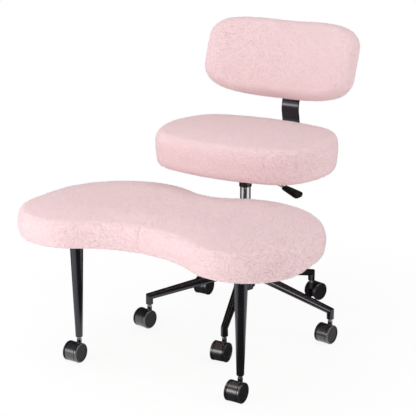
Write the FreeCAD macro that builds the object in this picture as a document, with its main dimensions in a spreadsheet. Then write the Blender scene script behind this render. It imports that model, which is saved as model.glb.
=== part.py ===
import FreeCAD, Part
import math
import os
import re
import Sketcher
from FreeCAD import Placement, Rotation, Vector

# Cross-legged office chair: a round-cornered seat and back on a gas lift and a
# five-armed base, with a kidney-shaped leg platform that turns about the column.
# The origin is the column's axis on the floor, -Y is the front and +Z is up.

SIZES = [
    ("wheel_radius", 25, "caster wheel, tread radius"),
    ("wheel_outer", 20, "wheel's outer face from the caster's middle plane"),
    ("wheel_inner", 7, "wheel's inner face from the middle plane"),
    ("flange_inner", 14.8, "inner side of the wheel's tread flange"),
    ("drum_radius", 21.3, "wheel's drum under the hood"),
    ("rim_width", 3.6, "raised rim round the wheel's face"),
    ("face_dish", 1.2, "depth of the wheel's dished face"),
    ("wheel_round", 1.6, "rounding of the tread's outer edge"),
    ("running_gap", 0.05, "radial clearance of a running fit"),
    ("axle_radius", 3, "caster axle"),
    ("axle_half", 16, "half the axle's length"),
    ("axle_end_gap", 0.5, "space past the axle's ends"),
    ("caster_trail", 18, "axle's distance behind the swivel axis"),
    ("hood_outer", 24.6, "hood's outer radius about the axle"),
    ("hood_inner", 22.2, "hood's inner radius"),
    ("hood_half", 13, "half the hood's width"),
    ("hood_low", 58, "hood's lower edge, degrees under the axle's level"),
    ("hood_sweep", 180, "degrees that the hood covers"),
    ("web_half", 6.5, "half the thickness of the web between the wheels"),
    ("web_sweep", 210, "degrees that the web covers"),
    ("hub_disc_radius", 9, "web's boss round the axle"),
    ("boss_radius", 6.2, "boss round the stem"),
    ("boss_low", 34, "underside of the stem boss"),
    ("boss_top", 52, "top of the stem boss"),
    ("journal_radius", 4, "stem's journal in the caster"),
    ("journal_low", 37, "lower end of the stem"),
    ("stem_end_gap", 1, "space under the stem"),
    ("collar_radius", 6, "stem's collar"),
    ("collar_low", 52.3, "underside of the stem's collar"),
    ("collar_top", 54.6, "top of the stem's collar"),
    ("neck_radius", 5.25, "stem's neck, held in its socket"),
    ("neck_top", 79, "top of the stem"),
    ("heading_right", -9, "caster's turn from straight ahead, right arm"),
    ("heading_rear_right", 162, "rear right arm"),
    ("heading_rear_left", 0, "rear left arm"),
    ("heading_left", -11, "left arm"),
    ("heading_front", 4, "front arm"),
    ("heading_leg_left", -2, "platform's left leg"),
    ("heading_leg_right", -1, "platform's right leg"),
    ("socket_low", 60, "underside of the caster sockets"),
    ("arm_reach", 254, "column axis to the base casters' swivel axes"),
    ("arm_start", 20, "inner end of an arm before it meets the hub"),
    ("arm_root_height", 145, "arm's middle height at the hub"),
    ("arm_corner_height", 81, "arm's middle height at the mitre"),
    ("arm_root_radius", 13, "arm's radius at the hub"),
    ("arm_end_radius", 9.35, "arm's radius at the mitre and the socket"),
    ("tube_wall", 1.8, "wall of the base's arms"),
    ("hollow_end", 236, "outer end of the arm's hollow"),
    ("hub_radius", 28, "base hub"),
    ("hub_low", 105, "underside of the hub"),
    ("hub_top", 175, "top of the hub"),
    ("taper_radius", 23.25, "gas tube's radius at the foot of its taper"),
    ("tube_radius", 25, "gas tube"),
    ("tube_bore", 21.5, "inside of the gas tube"),
    ("tube_low", 97, "underside of the gas tube"),
    ("tube_top", 329, "top of the gas tube"),
    ("rod_hole", 5.3, "hole in the gas tube's foot"),
    ("bush_low", 249, "lower end of the guide bush"),
    ("bush_lip", 3, "guide bush's lip on the gas tube"),
    ("bearing_radius", 13, "thrust bearing"),
    ("bearing_height", 6, "thrust bearing"),
    ("rod_radius", 5, "piston rod"),
    ("rod_low", 91, "lower end of the piston rod"),
    ("rod_shoulder", 12, "piston rod's shoulder on the thrust bearing"),
    ("bearing_gap", 0.2, "space between that shoulder and the bearing"),
    ("shoulder_height", 3, "thickness of that shoulder"),
    ("piston_low", 243, "underside of the piston"),
    ("piston_height", 12, "piston"),
    ("clip_radius", 9, "retaining clip"),
    ("clip_height", 2.6, "retaining clip"),
    ("clip_gap", 0.4, "space between the clip and the gas tube"),
    ("column_radius", 14, "chrome column tube"),
    ("column_bore", 11.5, "inside of the column tube"),
    ("column_low", 117, "lower end of the column tube"),
    ("gland_height", 16, "gland in the column's lower end"),
    ("column_shut", 377, "top of the column's bore"),
    ("column_top", 407, "top of the column"),
    ("column_tip", 13.2, "column's radius at the top of its taper"),
    ("pin_radius", 3, "release pin"),
    ("pin_low", 393, "lower end of the release pin"),
    ("pin_hole_low", 386, "bottom of the release pin's bore"),
    ("pin_top", 411, "top of the release pin"),
    ("pin_bevel", 1, "bevel of the release pin's top"),
    ("cone_low", 379, "lower end of the seat plate's socket"),
    ("cone_top", 405.5, "upper end of that socket"),
    ("cone_radius", 16.5, "outside of that socket"),
    ("plate_half", 70, "half the seat plate's length and width"),
    ("plate_thick", 3, "seat plate's sheet"),
    ("plate_bolt_inset", 12, "seat plate's bolts from its edges"),
    ("box_half", 42, "half the width of the box under the seat plate"),
    ("box_half_depth", 52, "half the depth of that box"),
    ("box_low", 402.5, "floor of that box"),
    ("lever_height", 415, "lever's height at its pivot"),
    ("lever_radius", 3.5, "lever rod"),
    ("lever_inner", 5, "lever's reach past the release pin"),
    ("lever_bend", 47, "lever's bend from the column's axis"),
    ("lever_droop", 19.6, "degrees that the lever slopes down outside"),
    ("lever_slope_length", 104, "length of the sloping stretch"),
    ("lever_slot", 4.6, "lever's hole in the box"),
    ("paddle_start", 69, "paddle's inner end along the slope"),
    ("paddle_length", 52, "paddle"),
    ("paddle_root", 9, "half the paddle's width at its root"),
    ("paddle_wide", 18, "half the paddle's greatest width"),
    ("paddle_shoulder", 12, "greatest width's start from the paddle's end"),
    ("paddle_nose", 4, "length of the paddle's cut corners"),
    ("paddle_corner", 8, "width of the paddle's cut corners"),
    ("paddle_thick", 10, "paddle"),
    ("paddle_bevel", 2.2, "bevel of the paddle's edges"),
    ("seat_half_width", 238, "seat"),
    ("seat_half_depth", 172.6, "seat"),
    ("seat_middle", 2, "seat's middle, along Y"),
    ("seat_low", 434, "underside of the seat"),
    ("seat_top", 533.4, "top of the seat's crown"),
    ("seat_side_arc", 222, "seat outline's side arcs"),
    ("seat_front_arc", 544.5, "seat outline's front and rear arcs"),
    ("seat_corner_arc", 110.3, "seat outline's corner arcs"),
    ("seat_brow", 21.7, "width of the rounding round the seat's top"),
    ("seat_brow_fall", 16.9, "height of that rounding"),
    ("seat_foot", 14.5, "width of the rounding round the seat's foot"),
    ("seat_foot_rise", 21.6, "height of that rounding"),
    ("seat_board_inset", 42, "seat board's edge inside the seat's outline"),
    ("board_thick", 12, "plywood boards"),
    ("cushion_crown", 6, "crown of the seat and of the platform"),
    ("crown_pitch", 16, "crown's rings, from one to the next"),
    ("wall_bulge", 2, "swell of the cushions' side walls"),
    ("back_half_width", 223, "back, along its bend"),
    ("back_half_height", 106, "back"),
    ("back_half_thick", 33.5, "back, at its crown"),
    ("back_crown", 6, "crown of the back's front face"),
    ("back_bend", 637, "radius of the back's bend"),
    ("back_tilt", 20.7, "degrees that the back leans"),
    ("back_middle", 208, "back's middle, along Y"),
    ("back_height", 681, "height of the back's middle"),
    ("back_power", 3.8, "squareness of the back's outline"),
    ("back_board_front", 20, "back board's front behind the bend's middle face"),
    ("back_board_thick", 9, "back board"),
    ("back_board_height", 156, "back board"),
    ("back_board_sweep", 33, "degrees of bend that the back board covers"),
    ("bar_width", 50, "back bar"),
    ("bar_thick", 6, "back bar"),
    ("bar_start", 74, "front end of the back bar, along Y"),
    ("bar_heel", 268, "back bar's lower bend, along Y"),
    ("bar_heel_round", 40, "radius of the lower bend"),
    ("bar_neck_drop", 115, "upper bend under the back's middle"),
    ("bar_neck_round", 60, "radius of the upper bend"),
    ("bar_end_rise", 36, "bar's end above the back's middle"),
    ("bar_depth", 81.5, "bar behind the bend's middle face"),
    ("bar_bolt_inset", 11, "bar's bolts from its edges"),
    ("bar_bolt_front", 18, "bar's front bolts from its front end"),
    ("bar_bolt_rear", 48, "bar's rear bolts from its front end"),
    ("back_bolt_rise", 42, "back's bolts above and under its middle"),
    ("back_bolt_x", 31, "back's bolts from the middle plane"),
    ("bracket_depth", 33.8, "bracket's front behind the bend's middle face"),
    ("bracket_half", 40, "half the bracket plate's width"),
    ("bracket_half_height", 54, "half the bracket plate's height"),
    ("bracket_sheet", 3, "bracket's sheet"),
    ("web_spread", 19, "bracket's webs from the middle plane"),
    ("web_drop", 40, "webs' foot under the back's middle"),
    ("front_lobe_x", 236.2, "platform outline's front lobe, centre"),
    ("front_lobe_y", -414.3, "front lobe, centre"),
    ("front_lobe_arc", 146.2, "front lobe, radius"),
    ("rear_lobe_x", 157.8, "platform outline's rear lobe, centre"),
    ("rear_lobe_y", -349.8, "rear lobe, centre"),
    ("rear_lobe_arc", 221.8, "rear lobe, radius"),
    ("front_waist", -490, "platform's front waist, along Y"),
    ("rear_waist", -167, "platform's rear waist, along Y"),
    ("platform_low", 329, "underside of the platform"),
    ("platform_top", 404.2, "top of the platform's crown"),
    ("platform_brow", 23.8, "width of the rounding round the platform's top"),
    ("platform_brow_fall", 22, "height of that rounding"),
    ("platform_foot", 12.5, "width of the rounding round the platform's foot"),
    ("platform_foot_rise", 16.2, "height of that rounding"),
    ("platform_board_inset", 46, "platform board's edge inside the outline"),
    ("leg_x", 231, "platform's legs from the middle plane"),
    ("leg_y", -430, "platform's legs, along Y"),
    ("leg_low_radius", 9, "leg at its foot"),
    ("leg_top_radius", 17.3, "leg at its flange"),
    ("leg_flange_radius", 38, "leg's flange"),
    ("leg_flange_thick", 4, "leg's flange"),
    ("leg_hollow_low", 89, "foot of the leg's hollow"),
    ("sleeve_bore", 27, "inside of the swivel sleeve"),
    ("sleeve_radius", 30, "outside of the swivel sleeve"),
    ("sleeve_low", 175.4, "underside of the swivel sleeve"),
    ("sleeve_bush_height", 30, "bushes in the swivel sleeve"),
    ("arm_plate_half", 26, "half the platform arm's width"),
    ("arm_plate_end", -424, "front end of the platform arm, along Y"),
    ("arm_plate_thick", 8, "platform arm"),
    ("arm_bolt_x", 17, "platform arm's bolts from the middle plane"),
    ("arm_bolt_rear", -260, "platform arm's rear bolts, along Y"),
    ("arm_bolt_front", -400, "platform arm's front bolts, along Y"),
    ("bolt_radius", 3, "bolts"),
    ("bolt_head_radius", 5.5, "bolt heads"),
    ("bolt_head_height", 3.8, "bolt heads"),
    ("bolt_bevel", 0.8, "bevel of the bolt heads"),
    ("bolt_length", 14, "bolts, under the head"),
]

ARM_COUNT = 5
ARM_STEP = 360 / ARM_COUNT
FLANGE_BOLTS = 3
FOOT_ANGLES = (90, 45, 0)
BROW_ANGLES = (0, 45, 84)
CROWN_SHARES = (0.58, 0.26, 0.06, 0)
BACK_SHARES = (0.993, 0.95, 0.86, 0.7, 0.4)
DEPTH_SHARE = 0.48
HEIGHT_SHARE = 0.95

doc = FreeCAD.newDocument("CrossLeggedChair")
sheet = doc.addObject("Spreadsheet::Sheet", "Sizes")
for row, (alias, value, meaning) in enumerate(SIZES, start=1):
    sheet.set(f"A{row}", meaning)
    sheet.set(f"B{row}", str(value))
    sheet.setAlias(f"B{row}", alias)
doc.recompute()
ALIASES = {alias for alias, _, _ in SIZES}
nodes = []


def sized(expression):
    """Point each size that an expression names at its cell."""
    def cell(match):
        word = match.group()
        return f"Sizes.{word}" if word in ALIASES else word
    return re.sub(r"[a-z_]+", cell, expression)


def number(expression):
    """The value of an expression in the sheet's sizes."""
    value = sheet.evalExpression(sized(expression))
    return float(getattr(value, "Value", value))


def bind(item, **expressions):
    for name, expression in expressions.items():
        item.setExpression(name, sized(expression))


def place(item, base=("0", "0", "0"), rotation=None):
    """Turn an object, and bind where it stands."""
    item.Placement = Placement(Vector(), rotation or Rotation())
    for axis, expression in zip("xyz", base):
        item.setExpression(f"Placement.Base.{axis}", sized(expression))
    return item


def node(item, label):
    """Name a finished sub-part, which is written to its own file."""
    item.Label = label
    nodes.append(item)
    return item


def polygon(body, role, corners):
    """A closed sketch of straight lines, with each corner bound to the sheet."""
    plane = next(item for item in body.Origin.OriginFeatures if item.Role == role)
    sketch = body.newObject("Sketcher::SketchObject", body.Name + "_profile")
    sketch.AttachmentSupport = (plane, [""])
    sketch.MapMode = "FlatFace"
    points = [Vector(number(across), number(up), 0) for across, up in corners]
    count = len(points)
    for index, point in enumerate(points):
        sketch.addGeometry(Part.LineSegment(point, points[(index + 1) % count]), False)
    for index in range(count):
        sketch.addConstraint(Sketcher.Constraint("Coincident", index, 2, (index + 1) % count, 1))
    for index, (corner, point) in enumerate(zip(corners, points)):
        for kind, expression, start in zip(("DistanceX", "DistanceY"), corner, point):
            made = sketch.addConstraint(Sketcher.Constraint(kind, -1, 1, index, 1, start))
            sketch.setExpression(f"Constraints[{made}]", sized(expression))
    return sketch


def turned(name, corners, axis="V_Axis"):
    """A body turned about Z (V_Axis) or X (H_Axis) from corners of (across, up)."""
    body = doc.addObject("PartDesign::Body", name)
    sketch = polygon(body, "XZ_Plane", corners)
    turn = body.newObject("PartDesign::Revolution", name + "_turn")
    turn.Profile = sketch
    turn.ReferenceAxis = (sketch, [axis])
    turn.Angle = 360
    body.Tip = turn
    return body


def ring(name, inner, outer, low, high):
    return turned(name, [(inner, low), (outer, low), (outer, high), (inner, high)])


def cylinder(name, radius, height, base=("0", "0", "0"), rotation=None, sweep="360"):
    item = doc.addObject("Part::Cylinder", name)
    bind(item, Radius=radius, Height=height, Angle=sweep)
    return place(item, base, rotation)


def block(name, length, width, height, base=None):
    item = doc.addObject("Part::Box", name)
    bind(item, Length=length, Width=width, Height=height)
    return place(item, base) if base else item


def joined(name, items):
    item = doc.addObject("Part::MultiFuse", name)
    item.Shapes = items
    item.Refine = False
    return item


def grouped(name, items):
    item = doc.addObject("Part::Compound", name)
    item.Links = items
    return item


def cut(name, base, *tools):
    for index, tool in enumerate(tools):
        item = doc.addObject("Part::Cut", name if index == len(tools) - 1 else f"{name}_{index + 1}")
        item.Base = base
        item.Tool = tool
        base = item
    return base


def copied(master, name, base, angle="0"):
    """The same piece again, stood elsewhere and turned about Z."""
    item = place(grouped(name, [master]), base, Rotation(Vector(0, 0, 1), number(angle)))
    item.setExpression("Placement.Rotation.Angle", sized(angle))
    return item


def stored(name, shape, placement=None):
    item = doc.addObject("Part::Feature", name)
    item.Shape = shape
    if placement:
        item.Placement = placement
    return item


def extruded(name, wire, thickness, direction, symmetric=False):
    """A closed outline given a thickness."""
    item = doc.addObject("Part::Extrusion", name)
    item.Base = stored(name + "_outline", wire)
    item.DirMode = "Custom"
    item.Dir = direction
    item.Solid = True
    item.Symmetric = symmetric
    bind(item, LengthFwd=thickness)
    return item


def lofted(name, sections, ruled=False):
    item = doc.addObject("Part::Loft", name)
    item.Sections = sections
    item.Solid = True
    item.Ruled = ruled
    return item


# Casters: a web and hood on a stem, and two wheels on one axle

ALONG_X = Rotation(Vector(0, 1, 0), 90)


def caster_body_master():
    low = math.radians(number("hood_low"))
    start = Vector(0, -math.cos(low), -math.sin(low))
    fan = Rotation(start, Vector(), Vector(-1, 0, 0), "ZXY")
    centre = ("-caster_trail", "wheel_radius")
    shell = cylinder("hood_shell", "hood_outer", "2 * hood_half", ("hood_half", *centre), fan, "hood_sweep")
    hollow = cylinder("hood_hollow", "hood_inner", "2 * hood_half", ("hood_half", *centre), fan)
    web = cylinder("web", "hood_outer", "2 * web_half", ("web_half", *centre), fan, "web_sweep")
    disc = cylinder("hub_disc", "hub_disc_radius", "2 * web_half", ("-web_half", *centre), ALONG_X)
    boss = cylinder("stem_boss", "boss_radius", "boss_top - boss_low", ("0", "0", "boss_low"))
    solid = joined("caster_solid", [cut("hood", shell, hollow), web, disc, boss])
    axle_hole = cylinder("axle_hole", "axle_radius", "2 * web_half", ("-web_half", *centre), ALONG_X)
    stem_end = "journal_low - stem_end_gap"
    stem_hole = cylinder("stem_hole", "journal_radius + running_gap", f"boss_top - ({stem_end})",
                         ("0", "0", stem_end))
    return cut("caster_body", solid, joined("caster_holes", [axle_hole, stem_hole]))


def wheel_master():
    bore = "axle_radius + running_gap"
    bore_end = "axle_half + axle_end_gap"
    rim = "wheel_radius - rim_width"
    floor = "wheel_outer - face_dish"
    body = turned("wheel", [
        ("wheel_inner", bore), ("wheel_inner", "drum_radius"),
        ("flange_inner", "drum_radius"), ("flange_inner", "wheel_radius"),
        ("wheel_outer", "wheel_radius"), ("wheel_outer", rim),
        (floor, rim + " - face_dish"), (floor, "0"),
        (bore_end, "0"), (bore_end, bore)], "H_Axis")
    doc.recompute()
    turn = body.Tip
    tread = number("wheel_radius")
    face = number("wheel_outer")
    edges = [f"Edge{index}" for index, edge in enumerate(turn.Shape.Edges, start=1)
             if isinstance(edge.Curve, Part.Circle) and abs(edge.Curve.Radius - tread) < 1e-6
             and abs(edge.Curve.Center.x - face) < 1e-6]
    rounded = body.newObject("PartDesign::Fillet", "wheel_edge")
    rounded.Base = (turn, edges)
    bind(rounded, Radius="wheel_round")
    body.Tip = rounded
    return body


def stem_master():
    return turned("stem", [
        ("0", "journal_low"), ("journal_radius", "journal_low"),
        ("journal_radius", "collar_low"), ("collar_radius", "collar_low"),
        ("collar_radius", "collar_top"), ("neck_radius", "collar_top"),
        ("neck_radius", "neck_top"), ("0", "neck_top")])


def casters():
    body = caster_body_master()
    wheel = wheel_master()
    stem = stem_master()
    axle = cylinder("axle", "axle_radius", "2 * axle_half", ("-axle_half", "0", "0"), ALONG_X)
    headings = ("right", "rear_right", "rear_left", "left", "front")
    spots = []
    for index, name in enumerate(headings):
        angle = ARM_STEP * index
        spots.append((f"arm_reach * cos({angle})", f"arm_reach * sin({angle})", f"heading_{name}"))
    spots.append(("-leg_x", "leg_y", "heading_leg_left"))
    spots.append(("leg_x", "leg_y", "heading_leg_right"))
    stems = []
    for index, (across, along, turn) in enumerate(spots, start=1):
        name = f"caster_{index}"
        middle = (f"{across} + caster_trail * sin({turn})", f"{along} - caster_trail * cos({turn})",
                  "wheel_radius")
        node(copied(body, name + "_part", (across, along, "0"), turn), name + "_body")
        node(copied(axle, name + "_pin", middle, turn), name + "_axle")
        node(copied(wheel, name + "_disc_a", middle, turn), name + "_wheel_right")
        node(copied(wheel, name + "_disc_b", middle, turn + " + 180"), name + "_wheel_left")
        stems.append(copied(stem, name + "_stem", (across, along, "0")))
    node(grouped("stems_of_base", stems[:ARM_COUNT]), "base_caster_stems")
    node(grouped("stems_of_legs", stems[ARM_COUNT:]), "leg_caster_stems")


# Star base: a hub and five tapered arms, each mitred into an upright socket

def ellipse(name, major, minor, centre, across, normal):
    item = doc.addObject("Part::Ellipse", name)
    bind(item, MajorRadius=major, MinorRadius=minor)
    return place(item, centre, Rotation(across, Vector(), normal, "ZXY"))


def arm_master():
    fall = math.atan2(number("arm_root_height - arm_corner_height"), number("arm_reach - arm_start"))
    half_turn = (math.pi / 2 - fall) / 2
    mitre_up = Vector(math.cos(half_turn), 0, math.sin(half_turn))
    mitre_normal = Vector(math.sin(half_turn), 0, -math.cos(half_turn))
    up, out, down = Vector(0, 0, 1), Vector(1, 0, 0), Vector(0, 0, -1)
    root = ("arm_start", "0", "arm_root_height")
    corner = ("arm_reach", "0", "arm_corner_height")
    foot = ("arm_reach", "0", "socket_low")
    outer = lofted("arm_outside", [
        ellipse("arm_root", "arm_root_radius", "arm_root_radius", root, up, out),
        ellipse("arm_mitre", f"arm_end_radius / {math.cos(half_turn)}", "arm_end_radius", corner,
                mitre_up, mitre_normal),
        ellipse("arm_foot", "arm_end_radius", "arm_end_radius", foot, out, down)], ruled=True)
    end_height = f"arm_corner_height + (arm_reach - hollow_end) * {math.tan(fall)}"
    inner = lofted("arm_inside", [
        ellipse("hollow_root", "arm_root_radius - tube_wall", "arm_root_radius - tube_wall", root, up, out),
        ellipse("hollow_tip", "arm_end_radius - tube_wall", "arm_end_radius - tube_wall",
                ("hollow_end", "0", end_height), up, out)], ruled=True)
    hub = cylinder("arm_hub_space", "hub_radius", "2 * hub_top")
    bore = cylinder("arm_socket_bore", "neck_radius", "neck_top - socket_low", foot)
    return cut("arm", outer, joined("arm_spaces", [inner, hub, bore]))


def star_base():
    node(turned("hub", [("taper_radius", "hub_low"), ("hub_radius", "hub_low"),
                        ("hub_radius", "hub_top"), ("tube_radius", "hub_top")]), "base_hub")
    arm = arm_master()
    for index in range(ARM_COUNT):
        node(copied(arm, f"arm_{index + 1}", ("0", "0", "0"), f"{ARM_STEP * index}"), f"base_arm_{index + 1}")


# Gas lift: outer tube with its bush and bearing, piston rod, chrome column and release pin

def gas_lift():
    node(turned("outer_tube", [
        ("rod_hole", "tube_low"), ("taper_radius", "tube_low"), ("taper_radius", "hub_low"),
        ("tube_radius", "hub_top"), ("tube_radius", "tube_top"), ("tube_bore", "tube_top"),
        ("tube_bore", "hub_low"), ("rod_hole", "hub_low")]), "gas_cylinder")
    slide = "column_radius + running_gap"
    lip = "tube_top + bush_lip"
    node(turned("bush", [(slide, "bush_low"), ("tube_bore", "bush_low"), ("tube_bore", "tube_top"),
                         ("tube_radius", "tube_top"), ("tube_radius", lip), (slide, lip)]), "guide_bush")
    bearing_top = "hub_low + bearing_height"
    node(ring("bearing", "rod_hole", "bearing_radius", "hub_low", bearing_top), "thrust_bearing")
    shoulder = bearing_top + " + bearing_gap"
    shoulder_top = shoulder + " + shoulder_height"
    piston = "column_bore - running_gap"
    piston_top = "piston_low + piston_height"
    node(turned("rod", [
        ("0", "rod_low"), ("rod_radius", "rod_low"), ("rod_radius", shoulder), ("rod_shoulder", shoulder),
        ("rod_shoulder", shoulder_top), ("rod_radius", shoulder_top), ("rod_radius", "piston_low"),
        (piston, "piston_low"), (piston, piston_top), ("0", piston_top)]), "piston_rod")
    clip_top = "tube_low - clip_gap"
    node(ring("clip", "rod_radius", "clip_radius", clip_top + " - clip_height", clip_top), "retaining_clip")
    gland = "column_low + gland_height"
    gland_bore = "rod_radius + running_gap"
    pin_bore = "pin_radius + running_gap"
    outside = [(gland_bore, "column_low"), ("column_radius", "column_low"), ("column_radius", "cone_low"),
               ("column_tip", "column_top")]
    inside = [(pin_bore, "column_top"), (pin_bore, "pin_hole_low"), ("0", "pin_hole_low"),
              ("0", "column_shut"), ("column_bore", "column_shut"), ("column_bore", gland),
              (gland_bore, gland)]
    node(turned("column", outside + inside), "column_tube")
    node(turned("pin", [("0", "pin_low"), ("pin_radius", "pin_low"), ("pin_radius", "pin_top - pin_bevel"),
                        ("pin_radius - pin_bevel", "pin_top"), ("0", "pin_top")]), "release_pin")


# Bolts: one pattern for the seat and back, one for the platform

def bolt_master():
    return turned("bolt", [
        ("0", "-bolt_head_height"), ("bolt_head_radius - bolt_bevel", "-bolt_head_height"),
        ("bolt_head_radius", "bolt_bevel - bolt_head_height"), ("bolt_head_radius", "0"),
        ("bolt_radius", "0"), ("bolt_radius", "bolt_length"), ("0", "bolt_length")])


def bolted(name, master, stands):
    """Bolts at their places, and the holes that they stand in."""
    bolts = []
    holes = []
    for index, stand in enumerate(stands, start=1):
        bolts.append(grouped(f"{name}_{index}", [master]))
        holes.append(doc.addObject("Part::Cylinder", f"{name}_hole_{index}"))
        bind(holes[-1], Radius="bolt_radius + running_gap", Height="bolt_length")
        bolts[-1].Placement = stand
        holes[-1].Placement = stand
    return bolts, grouped(name + "_holes", holes)


def upright(across, along, height):
    return Placement(Vector(across, along, number(height)), Rotation())


# Outlines of tangent arcs: each arc is a centre, a radius, and its first and last angle

def meeting(first, first_reach, second, second_reach):
    """The upper right point at two reaches from two centres."""
    between = second - first
    span = between.Length
    along = (first_reach ** 2 - second_reach ** 2 + span ** 2) / (2 * span)
    aside = math.sqrt(first_reach ** 2 - along ** 2)
    direction = between / span
    normal = Vector(-direction.y, direction.x, 0)
    options = [first + direction * along + normal * side for side in (aside, -aside)]
    return max(options, key=lambda point: point.x + point.y)


def heading(vector):
    return math.atan2(vector.y, vector.x)


def seat_arcs():
    parts = ("side", "front", "corner")
    side_arc, front_arc, corner_arc = (number(f"seat_{part}_arc") for part in parts)
    side = Vector(number("seat_half_width") - side_arc, 0, 0)
    front = Vector(0, number("seat_half_depth") - front_arc, 0)
    corner = meeting(side, side_arc - corner_arc, front, front_arc - corner_arc)
    first, last = heading(corner - side), heading(corner - front)
    shift = Vector(0, number("seat_middle"), 0)
    arcs = [(side + shift, side_arc, -first, first), (corner + shift, corner_arc, first, last),
            (front + shift, front_arc, last, math.pi - last)]
    arcs.append((Vector(-corner.x, corner.y, 0) + shift, corner_arc, math.pi - last, math.pi - first))
    half_turn = Rotation(Vector(0, 0, 1), 180)
    for centre, radius, begin, end in arcs[:4]:
        arcs.append((half_turn.multVec(centre - shift) + shift, radius, begin + math.pi, end + math.pi))
    return arcs


def waist_arc(lobe, lobe_arc, waist, forward):
    """Centre and radius of the hollow arc through the waist that touches both lobes."""
    rise = abs(waist - lobe.y)
    radius = (lobe.x ** 2 + rise ** 2 - lobe_arc ** 2) / (2 * (lobe_arc - rise))
    return Vector(0, waist - radius if forward else waist + radius, 0), radius


def platform_arcs():
    front = Vector(number("front_lobe_x"), number("front_lobe_y"), 0)
    rear = Vector(number("rear_lobe_x"), number("rear_lobe_y"), 0)
    front_arc, rear_arc = number("front_lobe_arc"), number("rear_lobe_arc")
    notch, notch_arc = waist_arc(front, front_arc, number("front_waist"), True)
    nape, nape_arc = waist_arc(rear, rear_arc, number("rear_waist"), False)
    between = front - rear
    side = heading(between) + math.acos((rear_arc - front_arc) / between.Length)
    at_notch, at_nape = heading(front - notch), heading(rear - nape)
    half = [(front, front_arc, at_notch - math.pi, side), (rear, rear_arc, side, at_nape + math.pi)]
    arcs = half + [(nape, -nape_arc, at_nape, -math.pi - at_nape)]
    for centre, radius, begin, end in reversed(half):
        arcs.append((Vector(-centre.x, centre.y, 0), radius, math.pi - end, math.pi - begin))
    arcs.append((notch, -notch_arc, math.pi - at_notch, at_notch))
    return arcs


def outline(arcs, inset, height):
    """The closed line of arcs, and of straight runs between arcs that don't meet."""
    def spot(centre, radius, angle):
        return centre + Vector(math.cos(angle), math.sin(angle), 0) * radius + Vector(0, 0, height)
    edges = []
    ends = []
    for centre, radius, begin, end in arcs:
        reach = radius - inset if radius > 0 else -radius + inset
        points = [spot(centre, reach, angle) for angle in (begin, (begin + end) / 2, end)]
        ends.append((points[0], points[2]))
        edges.append(Part.Arc(*points).toShape())
    closed = []
    for index, edge in enumerate(edges):
        closed.append(edge)
        gap = (ends[index][1], ends[(index + 1) % len(ends)][0])
        if gap[0].distanceToPoint(gap[1]) > 1e-4:
            closed.append(Part.LineSegment(*gap).toShape())
    return Part.Wire(closed)


def cushion_rings(name):
    """Inset and height of each ring up a cushion: its foot, side wall, brow and crown."""
    parts = ("low", "top", "foot", "foot_rise", "brow", "brow_fall")
    low, top, foot, foot_rise, brow, brow_fall = (number(f"{name}_{part}") for part in parts)
    bulge, crown, pitch = number("wall_bulge"), number("cushion_crown"), number("crown_pitch")
    foot_top = low + foot_rise
    brow_low = top - crown - brow_fall
    rings = [(bulge + foot * (1 - math.cos(angle)), foot_top - foot_rise * math.sin(angle))
             for angle in map(math.radians, FOOT_ANGLES)]
    rings.append((0, (foot_top + brow_low) / 2))
    rings += [(bulge + brow * (1 - math.cos(angle)), brow_low + brow_fall * math.sin(angle))
              for angle in map(math.radians, BROW_ANGLES)]
    rings += [(bulge + brow + pitch * step, top - crown * share)
              for step, share in enumerate(CROWN_SHARES, start=1)]
    return rings


def cushion(name, arcs):
    """A cushion's foot, wall and brow in one smooth skin, and straight slopes up to its crown."""
    sections = [stored(f"{name}_ring_{index}", outline(arcs, inset, height))
                for index, (inset, height) in enumerate(cushion_rings(name), start=1)]
    slopes = len(CROWN_SHARES)
    wall = lofted(name + "_wall", sections[:-slopes])
    crown = lofted(name + "_crown", sections[-slopes - 1:], ruled=True)
    return joined(name + "_form", [wall, crown])


# Bent strips: a line with rounded corners, given a thickness

def bent_strip(corners, rounds, thickness):
    """A closed outline either side of a line in the YZ plane with rounded bends."""
    points = [Vector(0, *corner) for corner in corners]
    legs = [(after - before).normalize() for before, after in zip(points, points[1:])]
    sides = [Vector(0, -leg.z, leg.y) * (thickness / 2) for leg in legs]
    edges = []
    for sign in (1, -1):
        run = []
        last = points[0] + sides[0] * sign
        for index, radius in enumerate(rounds):
            before, after = legs[index], legs[index + 1]
            turn = before.getAngle(after)
            inward = (after - before).normalize()
            back = radius * math.tan(turn / 2)
            centre = points[index + 1] + inward * (radius / math.cos(turn / 2))
            feet = [points[index + 1] - before * back, points[index + 1] + after * back]
            reach = [foot + side * sign for foot, side in zip(feet, sides[index:index + 2])]
            crown = centre - inward * (reach[0] - centre).Length
            run.append(Part.LineSegment(last, reach[0]).toShape())
            run.append(Part.Arc(reach[0], crown, reach[1]).toShape())
            last = reach[1]
        run.append(Part.LineSegment(last, points[-1] + sides[-1] * sign).toShape())
        edges.append(run)
    for end, side in ((points[0], sides[0]), (points[-1], sides[-1])):
        edges[0].append(Part.LineSegment(end + side, end - side).toShape())
    return Part.Wire(Part.__sortEdges__(edges[0] + edges[1]))


# Seat and back on one frame

def back_placement():
    return Placement(Vector(0, number("back_middle"), number("back_height")),
                     Rotation(Vector(1, 0, 0), -number("back_tilt")))


def back_bar_wire():
    stand = back_placement()
    depth = number("bar_depth")
    neck = stand.multVec(Vector(0, depth, -number("bar_neck_drop")))
    end = stand.multVec(Vector(0, depth, number("bar_end_rise")))
    low = number("seat_low - bar_thick / 2")
    corners = [(number("bar_start"), low), (number("bar_heel"), low), (neck.y, neck.z), (end.y, end.z)]
    return bent_strip(corners, [number("bar_heel_round"), number("bar_neck_round")], number("bar_thick"))


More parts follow.
